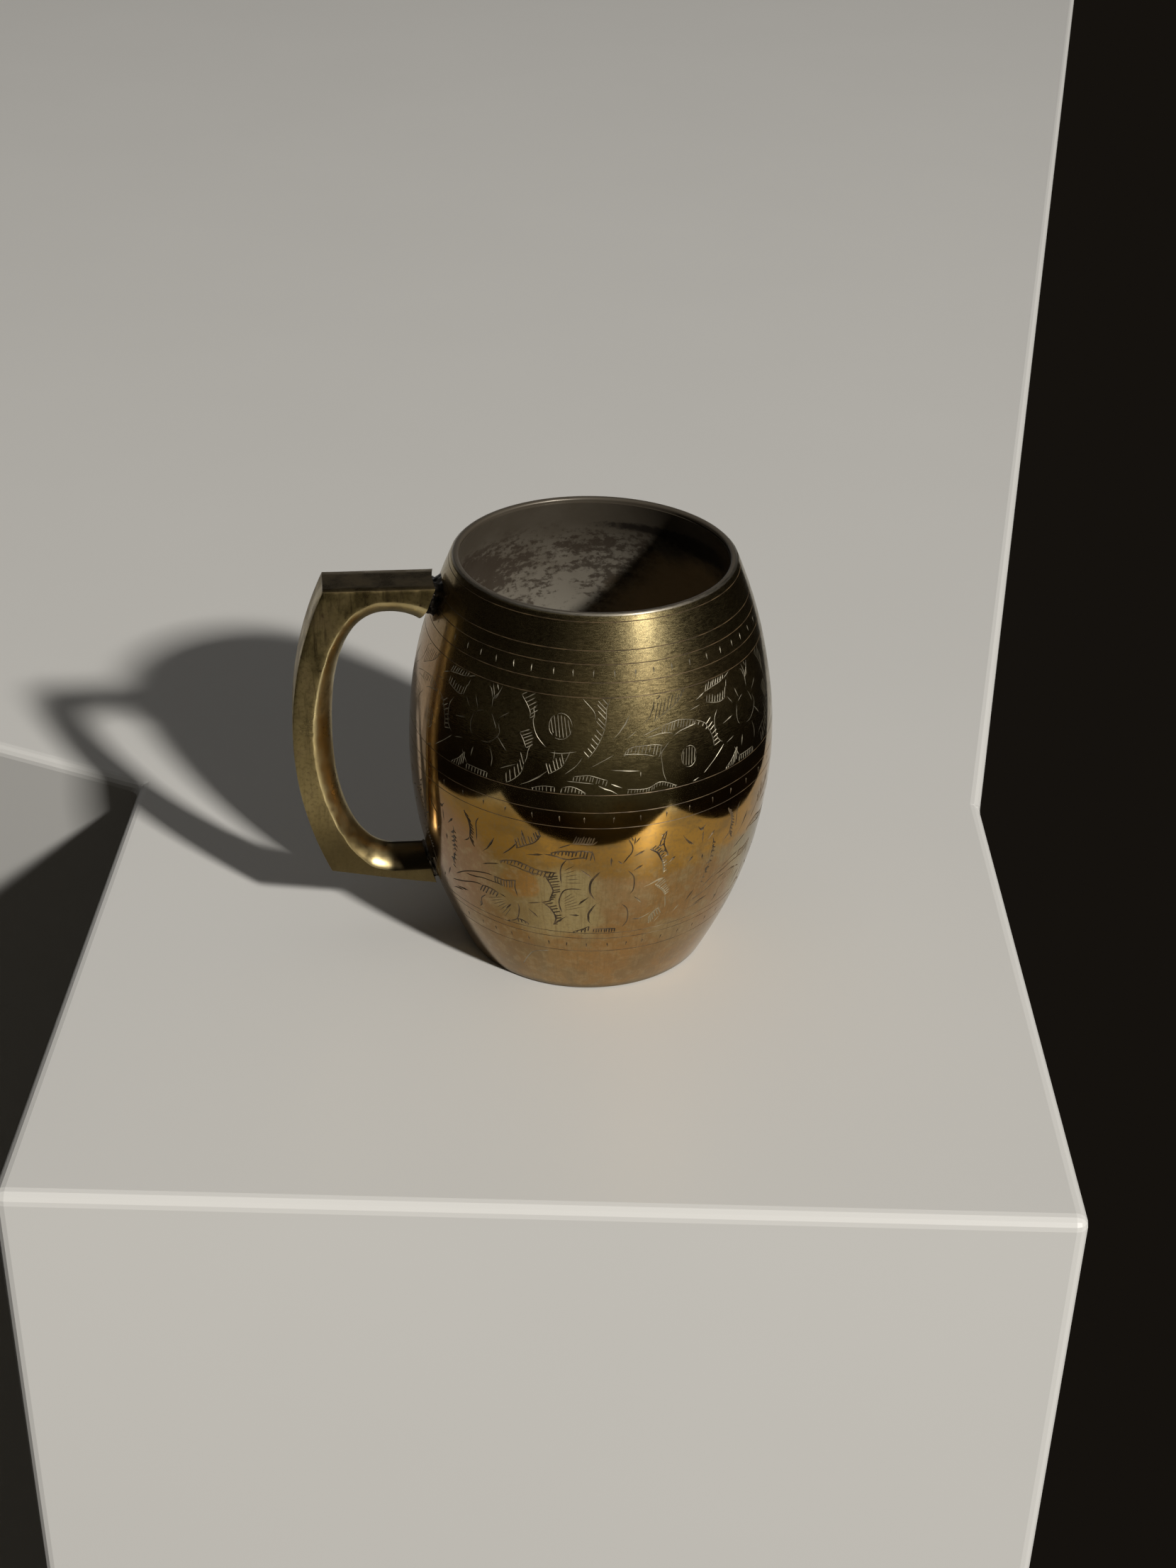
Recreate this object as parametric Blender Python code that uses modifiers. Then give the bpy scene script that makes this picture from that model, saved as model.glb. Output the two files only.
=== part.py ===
"""A barrel-shaped brass mug with a cast handle, built from the pieces that it would come apart into.

Metres, +Z up. The barrel stands on the origin, its axis is Z, and the handle points along -X.
"""

import math

import bmesh
import bpy
from mathutils import Matrix

# Barrel: a spun shell whose sides bow like staves between the rim, the belly and the foot.
HEIGHT = 0.107
BELLY_HEIGHT = 0.0565
BELLY_DIAMETER = 0.0918
RIM_DIAMETER = 0.0694
FOOT_DIAMETER = 0.0628
WALL = 0.0016
LIP_ROUND = 0.0006
FOOT_CHAMFER = 0.0005

# Base: a disc wedged in the narrowing foot, with solder run round its upper edge.
BASE_THICKNESS = 0.002
BASE_SOLDER_LEG = 0.0024

# Tin coat on the inside, from just under the lip down the wall and over the base.
LINING_THICKNESS = 0.0003
LINING_DROP = 0.0013

# Handle: a flat-sided bracket with a bowed back, a rounded finger side and two arms.
HANDLE_WIDTH = 0.0122
HANDLE_TOP_DROP = 0.0058
HANDLE_SPAN = 0.0786
GRIP_DEPTH = 0.0098
FINGER_GAP = 0.019
UPPER_CORNER_SETBACK = 0.0088
LOWER_CORNER_SETBACK = 0.0083
UPPER_ARM_DEPTH = 0.0081
UPPER_ARM_FLARE = 0.0024
LOWER_ARM_DEPTH = 0.0074
LOWER_ARM_FALL = math.radians(11.0)
OPENING_HALF_WIDTH = 0.0146
UPPER_ROUNDNESS = 2.4
LOWER_ROUNDNESS = 2.1
FINGER_SIDE_ROUND = 0.0043
EDGE_ROUND = 0.0004

# Solder that fills the gap between each arm's end and the barrel.
SOLDER_GAP = 0.0027
SOLDER_INSET = 0.0004
SOLDER_SPREAD = 0.0011
SOLDER_CORNER = 0.55

# Space kept between faces that touch on the real mug.
SEAT_CLEARANCE = 0.0003

# Facets.
TURN_STEPS = 48
STAVE_STEPS = 14
OPENING_STEPS = 12
BOW_STEPS = 12
ROUND_STEPS = 4
SOLDER_CUTS = 5
ARM_END_ROUNDS = 8
CUTTER_MARGIN = 0.01
MERGE = 0.00001

BELLY_RADIUS = BELLY_DIAMETER / 2
RIM_RADIUS = RIM_DIAMETER / 2
FOOT_RADIUS = FOOT_DIAMETER / 2
HANDLE_TOP = HEIGHT - HANDLE_TOP_DROP
LOWER_CORNER_HEIGHT = HANDLE_TOP - HANDLE_SPAN
GRIP_CREST = BELLY_RADIUS + FINGER_GAP
GRIP_BACK = GRIP_CREST + GRIP_DEPTH
OPENING_CENTRE = GRIP_CREST - OPENING_HALF_WIDTH


def stave(height):
    """Radius of the barrel's outside at a height, and its change for each metre up."""
    rise = height - BELLY_HEIGHT
    if rise > 0:
        reach, drop = HEIGHT - BELLY_HEIGHT, BELLY_RADIUS - RIM_RADIUS
    else:
        reach, drop = BELLY_HEIGHT, BELLY_RADIUS - FOOT_RADIUS
    return BELLY_RADIUS - drop * (rise / reach) ** 2, -2 * drop * rise / reach**2


def barrel_radius(height, depth=0.0):
    """Radius at a depth under the barrel's outside, measured square to the wall."""
    radius, slope = stave(height)
    return radius - depth * math.hypot(1, slope)


def heights(low, high):
    """Even steps from one height to another, up or down."""
    return [low + (high - low) * step / STAVE_STEPS for step in range(STAVE_STEPS + 1)]


def quarter_arc(centre, start, end, round_radius):
    """Points of a round corner about a centre, between two angles in degrees."""
    points = []
    for step in range(ROUND_STEPS + 1):
        angle = math.radians(start + (end - start) * step / ROUND_STEPS)
        points.append((centre[0] + round_radius * math.cos(angle), centre[1] + round_radius * math.sin(angle)))
    return points


def make_material(name, colour, roughness):
    """A bare metal."""
    material = bpy.data.materials.new(name)
    material.use_nodes = True
    shader = material.node_tree.nodes["Principled BSDF"]
    shader.inputs["Base Color"].default_value = (*colour, 1.0)
    shader.inputs["Metallic"].default_value = 1.0
    shader.inputs["Roughness"].default_value = roughness
    return material


def add_object(name, mesh, collection, material=None):
    piece = bpy.data.objects.new(name, mesh)
    collection.objects.link(piece)
    if material:
        mesh.materials.append(material)
    return piece


def add_turned(name, profile, collection, material=None, closed=True):
    """A profile of (radius, height) points, outside running down, spun about Z."""
    mesh = bpy.data.meshes.new(name)
    rows = [(radius, 0.0, height) for radius, height in profile]
    edges = [(i, i + 1) for i in range(len(rows) - 1)]
    if closed:
        edges.append((len(rows) - 1, 0))
    mesh.from_pydata(rows, edges, [])
    piece = add_object(name, mesh, collection, material)
    spin = piece.modifiers.new("spin", "SCREW")
    spin.axis = "Z"
    spin.steps = spin.render_steps = TURN_STEPS
    spin.use_merge_vertices = True
    spin.merge_threshold = MERGE
    spin.use_smooth_shade = True
    return piece


def add_barrel_shell(collection, material):
    """The outer wall, with a rounded lip and a flat foot."""
    lip_centre = HEIGHT - LIP_ROUND
    lip_outer = barrel_radius(HEIGHT) - LIP_ROUND
    lip_inner = barrel_radius(HEIGHT, WALL) + LIP_ROUND
    outside = [(barrel_radius(z), z) for z in heights(lip_centre, FOOT_CHAMFER)]
    foot = [(barrel_radius(0.0) - FOOT_CHAMFER, 0.0), (barrel_radius(0.0, WALL), 0.0)]
    inside = [(barrel_radius(z, WALL), z) for z in heights(0.0, lip_centre)][1:]
    lip = quarter_arc((lip_inner, lip_centre), 180, 90, LIP_ROUND)[1:]
    lip += quarter_arc((lip_outer, lip_centre), 90, 0, LIP_ROUND)[:-1]
    return add_turned("barrel_shell", outside + foot + inside + lip, collection, material)


def add_base_disc(collection, material):
    """The bottom, tapered to wedge in the foot."""
    mesh = bpy.data.meshes.new("base_disc")
    disc = bmesh.new()
    bmesh.ops.create_cone(
        disc,
        cap_ends=True,
        segments=TURN_STEPS,
        radius1=barrel_radius(0.0, WALL) - SEAT_CLEARANCE,
        radius2=barrel_radius(BASE_THICKNESS, WALL) - SEAT_CLEARANCE,
        depth=BASE_THICKNESS,
    )
    bmesh.ops.translate(disc, verts=disc.verts, vec=(0.0, 0.0, BASE_THICKNESS / 2))
    disc.to_mesh(mesh)
    disc.free()
    return add_object("base_disc", mesh, collection, material)


def base_corner(leg):
    """The inside corner over the base, cut off at a leg's length up the wall and along the base."""
    floor = BASE_THICKNESS + SEAT_CLEARANCE
    depth = WALL + SEAT_CLEARANCE
    on_wall = (barrel_radius(floor + leg, depth), floor + leg)
    corner = (barrel_radius(floor, depth), floor)
    on_base = (corner[0] - leg, floor)
    return on_wall, corner, on_base


def add_base_solder(collection, material):
    """A ring of solder in the corner between the wall and the base."""
    return add_turned("base_solder_ring", base_corner(BASE_SOLDER_LEG), collection, material)


def add_tin_lining(collection, material):
    """The coat on the wall and base: its outer face spun from one line, then thickened inwards."""
    on_wall, corner, on_base = base_corner(BASE_SOLDER_LEG + 2 * SEAT_CLEARANCE)
    depth = WALL + SEAT_CLEARANCE
    wall = [(barrel_radius(z, depth), z) for z in heights(HEIGHT - LINING_DROP, on_wall[1])]
    line = wall + [on_base, (0.0, on_base[1])]
    lining = add_turned("tin_lining", line, collection, material, closed=False)
    coat = lining.modifiers.new("coat", "SOLIDIFY")
    coat.thickness = LINING_THICKNESS
    coat.offset = -1.0
    coat.use_even_offset = True
    return lining


def opening_height(reach, upper):
    """Height of the finger opening's edge at a distance from the barrel's axis."""
    top = HANDLE_TOP - UPPER_ARM_DEPTH
    bottom = lower_edge(OPENING_CENTRE) + LOWER_ARM_DEPTH
    if reach < OPENING_CENTRE and not upper:
        return bottom
    if reach < OPENING_CENTRE:
        run = OPENING_CENTRE - barrel_radius(top, -SOLDER_GAP)
        return top - UPPER_ARM_FLARE * ((OPENING_CENTRE - reach) / run) ** 2
    middle = (top + bottom) / 2
    roundness = UPPER_ROUNDNESS if upper else LOWER_ROUNDNESS
    share = min(1.0, (reach - OPENING_CENTRE) / OPENING_HALF_WIDTH)
    rise = (top - middle) * (1 - share**roundness) ** (1 / roundness)
    return middle + rise if upper else middle - rise


def lower_edge(reach):
    """Height of the lower arm's underside, which falls towards the barrel."""
    corner = GRIP_BACK - LOWER_CORNER_SETBACK
    return LOWER_CORNER_HEIGHT - (corner - reach) * math.tan(LOWER_ARM_FALL)


def bow_through(first, middle, last):
    """Points of the arc from the first point to the last by way of the middle one."""
    rows = [(2 * (x - first[0]), 2 * (z - first[1]), x * x + z * z - first[0] ** 2 - first[1] ** 2)
            for x, z in (middle, last)]
    (a, b, e), (c, d, f) = rows
    centre = ((e * d - b * f) / (a * d - b * c), (a * f - e * c) / (a * d - b * c))
    radius = math.dist(centre, first)
    start = math.atan2(first[1] - centre[1], first[0] - centre[0])
    end = math.atan2(last[1] - centre[1], last[0] - centre[0])
    angles = [start + (end - start) * step / BOW_STEPS for step in range(BOW_STEPS + 1)]
    return [(centre[0] + radius * math.cos(t), centre[1] + radius * math.sin(t)) for t in angles]


def handle_outline():
    """The handle's outer outline and its finger side, as (distance from the axis, height) points."""
    buried = min(RIM_RADIUS, FOOT_RADIUS)
    upper_corner = (GRIP_BACK - UPPER_CORNER_SETBACK, HANDLE_TOP)
    lower_corner = (GRIP_BACK - LOWER_CORNER_SETBACK, LOWER_CORNER_HEIGHT)
    middle = (GRIP_BACK, (HANDLE_TOP + LOWER_CORNER_HEIGHT) / 2)
    outer = [(buried, HANDLE_TOP)]
    outer += bow_through(upper_corner, middle, lower_corner)
    outer.append((buried, lower_edge(buried)))
    shares = [step / OPENING_STEPS for step in range(OPENING_STEPS + 1)]
    grip_side = [OPENING_CENTRE + OPENING_HALF_WIDTH * math.sin(math.pi / 2 * share) for share in shares]
    barrel_side = [OPENING_CENTRE + (buried - OPENING_CENTRE) * share for share in shares[1:]]
    finger = [(buried, opening_height(buried, False))]
    finger += [(reach, opening_height(reach, False)) for reach in grip_side]
    finger += [(reach, opening_height(reach, True)) for reach in reversed(grip_side[:-1])]
    finger += [(reach, opening_height(reach, True)) for reach in barrel_side]
    return outer, finger


def add_handle(collection, cutters, material):
    """The outline as a flat plate, its finger side rounded over and its ends cut to the barrel's bow."""
    outer, finger = handle_outline()
    sketch = bpy.data.curves.new("handle_outline", "CURVE")
    sketch.dimensions = "2D"
    sketch.fill_mode = "BOTH"
    sketch.extrude = HANDLE_WIDTH / 2
    path = sketch.splines.new("POLY")
    path.points.add(len(outer + finger) - 1)
    for point, (reach, height) in zip(path.points, outer + finger):
        point.co = (-reach, height, 0.0, 1.0)
    path.use_cyclic_u = True
    plate = bpy.data.objects.new("handle_outline", sketch)
    mesh = bpy.data.meshes.new_from_object(plate)
    bpy.data.objects.remove(plate)
    mesh.name = "handle"

    solid = bmesh.new()
    solid.from_mesh(mesh)
    bmesh.ops.remove_doubles(solid, verts=solid.verts, dist=MERGE)
    for side in (-1, 1):
        flat = [face for face in solid.faces if face.normal.z * side > 0.9]
        bmesh.ops.dissolve_faces(solid, faces=flat)
    bmesh.ops.recalc_face_normals(solid, faces=solid.faces)
    finger_points = {(round(-reach, 6), round(height, 6)) for reach, height in finger[1:-1]}
    rims = [edge for edge in solid.edges if abs(edge.verts[0].co.z - edge.verts[1].co.z) < MERGE]
    hollow = []
    crisp = []
    for edge in rims:
        ends = [(round(vert.co.x, 6), round(vert.co.y, 6)) for vert in edge.verts]
        if any(end in finger_points for end in ends):
            hollow.append(edge)
        else:
            crisp.append(edge)
    bmesh.ops.bevel(
        solid, geom=hollow, offset=FINGER_SIDE_ROUND, segments=ROUND_STEPS, profile=0.5, affect="EDGES"
    )
    crisp = [edge for edge in crisp if edge.is_valid]
    bmesh.ops.bevel(solid, geom=crisp, offset=EDGE_ROUND, segments=1, profile=0.5, affect="EDGES")
    bmesh.ops.rotate(solid, verts=solid.verts, cent=(0, 0, 0), matrix=Matrix.Rotation(math.pi / 2, 3, "X"))
    solid.to_mesh(mesh)
    solid.free()
    handle = add_object("handle", mesh, collection, material)

    trim = add_end_cutter(cutters)
    cut = handle.modifiers.new("cut to the barrel", "BOOLEAN")
    cut.operation = "DIFFERENCE"
    cut.solver = "EXACT"
    cut.object = trim
    return handle


def add_end_cutter(cutters):
    """The barrel swollen by the solder's thickness, to trim the arms."""
    low, high = -CUTTER_MARGIN, HEIGHT + CUTTER_MARGIN
    wall = [(barrel_radius(z, -SOLDER_GAP), z) for z in heights(high, low)]
    trim = add_turned("handle_end_cutter", [(0.0, high)] + wall + [(0.0, low)], cutters, closed=False)
    trim.display_type = "WIRE"
    trim.hide_render = True
    return trim


def add_handle_solder(name, low, high, collection, material):
    """A pad from the barrel to an arm's end, wider where it runs out on the barrel."""
    mesh = bpy.data.meshes.new(name)
    pad = bmesh.new()
    bmesh.ops.create_cube(pad, size=2.0)
    bmesh.ops.subdivide_edges(pad, edges=pad.edges[:], cuts=SOLDER_CUTS, use_grid_fill=True)
    half_width = HANDLE_WIDTH / 2 - SOLDER_INSET
    half_height = (high - low) / 2 - SOLDER_INSET
    for vert in pad.verts:
        across, up, out = vert.co.y, vert.co.z, (1 - vert.co.x) / 2
        spread = SOLDER_SPREAD * (1 - out) ** 2
        y = across * (half_width + spread) * math.sqrt(1 - SOLDER_CORNER * up * up / 2)
        z = (low + high) / 2 + up * (half_height + spread) * math.sqrt(1 - SOLDER_CORNER * across * across / 2)
        lift = SEAT_CLEARANCE + out * (SOLDER_GAP - 2 * SEAT_CLEARANCE)
        reach = barrel_radius(z, -lift)
        vert.co = (-math.sqrt(reach * reach - y * y), y, z)
    bmesh.ops.recalc_face_normals(pad, faces=pad.faces)
    pad.to_mesh(mesh)
    pad.free()
    return add_object(name, mesh, collection, material)


def arm_end(upper):
    """Lower and upper height of an arm where it meets the solder."""
    high = HANDLE_TOP if upper else opening_height(0.0, False)
    low = high
    for _ in range(ARM_END_ROUNDS):
        reach = barrel_radius(low, -SOLDER_GAP)
        low = opening_height(reach, True) if upper else lower_edge(reach)
    return low, high


def build():
    for old in list(bpy.data.objects):
        bpy.data.objects.remove(old)
    collection = bpy.data.collections.new("metal_mug")
    cutters = bpy.data.collections.new("cutters")
    for group in (collection, cutters):
        bpy.context.scene.collection.children.link(group)

    spun_brass = make_material("spun_brass", (0.60, 0.40, 0.15), 0.25)
    base_brass = make_material("base_brass", (0.52, 0.36, 0.15), 0.4)
    cast_brass = make_material("cast_brass", (0.55, 0.36, 0.14), 0.35)
    tin = make_material("tin", (0.55, 0.53, 0.48), 0.35)
    base_solder = make_material("base_solder", (0.42, 0.41, 0.38), 0.5)
    upper_solder = make_material("upper_solder", (0.10, 0.09, 0.08), 0.5)
    lower_solder = make_material("lower_solder", (0.34, 0.33, 0.31), 0.5)

    add_barrel_shell(collection, spun_brass)
    add_base_disc(collection, base_brass)
    add_base_solder(collection, base_solder)
    add_tin_lining(collection, tin)
    add_handle(collection, cutters, cast_brass)
    add_handle_solder("upper_handle_solder", *arm_end(True), collection, upper_solder)
    add_handle_solder("lower_handle_solder", *arm_end(False), collection, lower_solder)


build()
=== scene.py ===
"""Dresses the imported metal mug: engraved brass barrel, filed handle, lumpy solder and stained tin."""

import math

import bmesh
import bpy
import numpy as np
from mathutils import Matrix, Vector, kdtree, noise
from mathutils.geometry import delaunay_2d_cdt


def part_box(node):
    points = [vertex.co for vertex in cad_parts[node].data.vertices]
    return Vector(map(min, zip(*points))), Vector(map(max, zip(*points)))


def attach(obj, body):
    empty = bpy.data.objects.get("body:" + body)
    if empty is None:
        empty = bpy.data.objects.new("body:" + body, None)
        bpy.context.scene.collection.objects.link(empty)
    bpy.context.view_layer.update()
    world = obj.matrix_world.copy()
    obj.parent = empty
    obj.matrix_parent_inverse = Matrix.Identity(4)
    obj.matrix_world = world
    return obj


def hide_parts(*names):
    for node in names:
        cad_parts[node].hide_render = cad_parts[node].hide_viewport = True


MM = 0.001

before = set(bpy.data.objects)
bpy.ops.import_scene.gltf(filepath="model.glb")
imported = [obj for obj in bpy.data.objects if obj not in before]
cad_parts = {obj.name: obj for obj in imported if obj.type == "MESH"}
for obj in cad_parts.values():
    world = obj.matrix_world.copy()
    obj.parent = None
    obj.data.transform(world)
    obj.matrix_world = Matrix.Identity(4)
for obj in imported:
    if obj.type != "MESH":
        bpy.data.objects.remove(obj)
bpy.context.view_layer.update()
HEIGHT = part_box("barrel_shell")[1].z
BELLY_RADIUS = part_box("barrel_shell")[1].x
HANDLE_BACK = -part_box("handle")[0].x
HANDLE_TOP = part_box("handle")[1].z
HANDLE_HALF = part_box("handle")[1].y

# Barrel.
RIM_RADIUS = 34.7 * MM
FOOT_RADIUS = 31.4 * MM
BELLY_HEIGHT = 56.5 * MM
WALL = 1.6 * MM
LIP_ROUND = 0.6 * MM
FOOT_CHAMFER = 0.5 * MM
LIP_STEPS = 5
WALL_ROWS = 20
# Waves of the uneven wall: share, number round the wall, phase for each millimetre up, start.
WOBBLE = 0.10 * MM
WOBBLE_WAVES = ((0.5, 3, 1 / 7, 1.3), (0.3, 5, -1 / 5, 0.4), (0.2, 9, 1 / 3.5, 0.0))
# Small steps for the direction that the wall faces: radians round it, metres up.
SMALL_TURN = 1e-4
SMALL_RISE = 1e-5

# The unrolled sheet: millimetres round the belly from the front, and millimetres up.
SHEET_COLUMNS = 240
SHEET_ROW_STEP = 1.3
SHEET_SEAM_TURN = -0.25
SEAM_OVERLAP = 1.0
ROW_CLEARANCE = 0.4
GRID_CLEARANCE = 0.25
STROKE_STEP = 0.8
SEARCH_STEP = 0.08
LINE_STEPS = 12
ARC_STEPS = 24
GROOVE_SLOPE = 0.7
RING_SLOPE = 0.5
LEAST_DEPTH = 0.004
SAME_PLACE = 1e-3

# Cut widths in millimetres. Those of a band are for fine lines, teeth, deep ticks and hairs.
RING_CUT = 0.20
PUNCH_CUT = 0.4
SCRATCH_CUT = 0.22
UPPER_CUTS = (0.15, 0.22, 0.34)
LOWER_CUTS = (0.34, 0.38, 0.58, 0.16)
WIDEST_CUT = 0.6
# How cuts run out: millimetres for each kind, and a wedge's shares of its length at its start and its end.
CUT_FADES = (1.2, 0.4, 1.2, 1.6)
WEDGE_FADES = (0.65, 0.3)
# Teeth: the share of the spine they stand on, and how much their places and lengths vary.
TOOTH_ENDS = (0.04, 0.96)
TOOTH_SHIFT = 0.15
TOOTH_STRETCH = (1.0, 1.35)

# Bands of the pattern, heights in millimetres, and how far apart the engraver set its repeats at the front.
RING_HEIGHTS = (105.4, 99.3, 96.3, 92.3, 88.9, 65.2, 60.6, 56.4, 23.2, 21.3, 16.4)
UPPER_BAND = (65.3, 88.8)
LOWER_BAND = (23.3, 56.2)
UPPER_SPACING = 74.0
LOWER_SPACING = 71.0
# Cuts between these heights are brown with dirt, like all turned lines.
DIRTY_BAND = (16.1, 59.0)
# Rows of punched dashes: height and number. Then their length, and how much they stray and lean.
PUNCH_ROWS = ((94.3, 52), (58.6, 44), (18.7, 52))
PUNCH_LENGTH = 1.7
PUNCH_STRAY = 0.4
PUNCH_LEAN = 0.12

# Combs of one repeat: points of the spine, number of teeth, reach of the first tooth and of the last one.
UPPER_COMBS = (
    (((-0.7, 89.2), (-2.0, 86.5), (-2.1, 84.0), (-2.7, 81.0), (-4.4, 77.3), (-6.6, 74.3)),
     13, (-2.0, 1.9), (-1.1, 1.2)),
    (((-24.4, 88.0), (-22.4, 85.8), (-21.4, 84.0), (-21.5, 82.3)), 7, (2.6, 1.5), (1.2, 0.9)),
    (((-23.8, 79.0), (-22.7, 77.5), (-21.7, 75.4)), 6, (2.6, 1.2), (1.4, 1.0)),
    (((-22.0, 71.4), (-22.8, 68.9), (-24.9, 66.7), (-26.6, 65.6)), 6, (-0.8, 2.2), (-0.2, 2.4)),
    (((-12.1, 73.0), (-12.9, 71.9), (-15.9, 69.8)), 6, (-0.5, 2.1), (-0.7, 2.1)),
    (((-19.9, 65.8), (-17.0, 66.7), (-14.0, 66.8)), 7, (0.1, -1.0), (0.0, -1.4)),
    (((-12.5, 66.8), (-10.5, 67.3), (-8.6, 66.8), (-6.7, 65.8)), 8, (-0.4, -1.6), (0.1, -0.8)),
    (((-10.0, 69.8), (-8.3, 70.1), (-5.9, 70.3), (-3.0, 69.5), (-1.4, 69.0)),
     11, (-0.2, -1.2), (-0.4, -1.4)),
    (((3.0, 66.6), (8.0, 66.3), (11.5, 67.5), (15.8, 65.7)), 18, (-0.2, -1.2), (-0.2, -0.9)),
    (((9.8, 82.5), (13.3, 84.3), (16.4, 85.9), (19.0, 88.2)), 9, (1.2, 4.2), (0.5, 0.8)),
    (((25.2, 86.5), (27.7, 87.0), (30.2, 87.3), (32.5, 87.7)), 8, (0.8, 1.7), (0.7, 1.2)),
    (((25.3, 84.2), (27.7, 83.4), (30.2, 82.9), (32.4, 83.3)), 8, (0.3, 1.2), (0.7, 2.2)),
    (((12.0, 81.2), (15.8, 81.8), (17.7, 81.8), (21.4, 80.9)), 11, (-0.4, -1.8), (-0.5, -1.4)),
    (((21.4, 80.9), (23.9, 79.7), (25.2, 78.4)), 4, (-0.4, -1.0), (-0.5, -0.6)),
    (((24.6, 79.0), (26.1, 76.4), (26.7, 74.5), (26.9, 72.6)), 7, (1.5, 1.2), (1.6, 0.4)),
    (((2.5, 76.0), (4.4, 77.0), (7.3, 77.1), (10.1, 77.0), (12.3, 76.5)), 11, (-0.4, -1.0), (-0.5, -2.2)),
    (((35.3, 70.0), (33.0, 67.3), (31.0, 66.0)), 6, (-0.4, -3.2), (-0.6, -0.7)),
    (((35.6, 67.0), (42.6, 66.8)), 8, (-0.1, -1.3), (-0.2, -1.3)),
)
LOWER_COMBS = (
    (((-38.9, 53.9), (-37.4, 51.4), (-37.0, 49.2), (-37.2, 47.0), (-36.6, 44.9)),
     11, (1.3, -0.9), (0.9, -1.0)),
    (((-23.6, 48.2), (-21.1, 49.7), (-18.9, 51.0), (-17.2, 53.2)), 9, (-0.7, 2.6), (-0.5, 1.4)),
    (((-9.6, 51.9), (-7.0, 52.0), (-4.8, 51.8)), 8, (0.7, 1.8), (0.6, 1.8)),
    (((-15.0, 48.7), (-12.4, 49.5), (-9.2, 49.7), (-7.3, 50.0), (-4.5, 49.8)),
     12, (-0.1, -0.7), (-0.4, -2.2)),
    (((-28.6, 42.9), (-26.1, 43.9), (-23.0, 44.3), (-18.0, 42.9), (-13.3, 42.9)),
     15, (-0.2, -0.8), (-0.7, -1.8)),
    (((-16.4, 41.4), (-15.2, 39.2), (-14.5, 37.0), (-15.0, 35.1), (-15.6, 33.6)),
     10, (2.6, 0.7), (1.0, 0.4)),
    (((-17.8, 32.8), (-16.1, 31.7), (-14.5, 29.5), (-14.1, 27.3), (-14.9, 25.4)),
     9, (2.0, 0.9), (1.2, 0.2)),
    (((-25.2, 25.2), (-23.9, 25.1), (-22.0, 24.4)), 4, (0.1, -1.2), (0.1, -0.6)),
    (((-30.8, 37.5), (-27.7, 37.2), (-24.2, 38.2)), 8, (0.1, -1.6), (-0.3, -2.4)),
    (((-34.9, 32.9), (-32.3, 32.9), (-29.8, 32.2)), 6, (-1.3, -2.2), (-0.9, -1.6)),
    (((9.2, 49.3), (11.2, 48.0), (12.3, 46.0), (13.1, 44.2), (13.4, 41.4)), 11, (1.2, 1.0), (0.8, 0.5)),
    (((13.6, 53.9), (12.9, 50.6), (13.4, 48.6), (14.5, 46.5)), 5, (-1.2, -0.8), (-1.1, -0.4)),
    (((11.4, 38.2), (13.9, 35.8), (14.8, 33.9)), 8, (1.9, 1.7), (1.0, 0.7)),
    (((11.1, 27.4), (12.2, 29.0), (13.6, 30.2)), 6, (0.3, -2.6), (1.0, -1.8)),
    (((-4.0, 24.9), (2.2, 24.9)), 9, (0.0, -1.3), (0.0, -1.3)),
    (((-9.5, 23.6), (-7.0, 24.6), (-5.0, 25.9)), 5, (0.0, -0.4), (-0.2, -1.8)),
)
# Rows of loose dashes, written like combs.
LOWER_DASHES = (
    (((27.7, 46.8), (27.8, 44.5), (27.7, 42.0), (26.8, 37.9), (25.6, 34.2)),
     9, (0.9, -0.55), (0.8, -0.5)),
)

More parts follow.
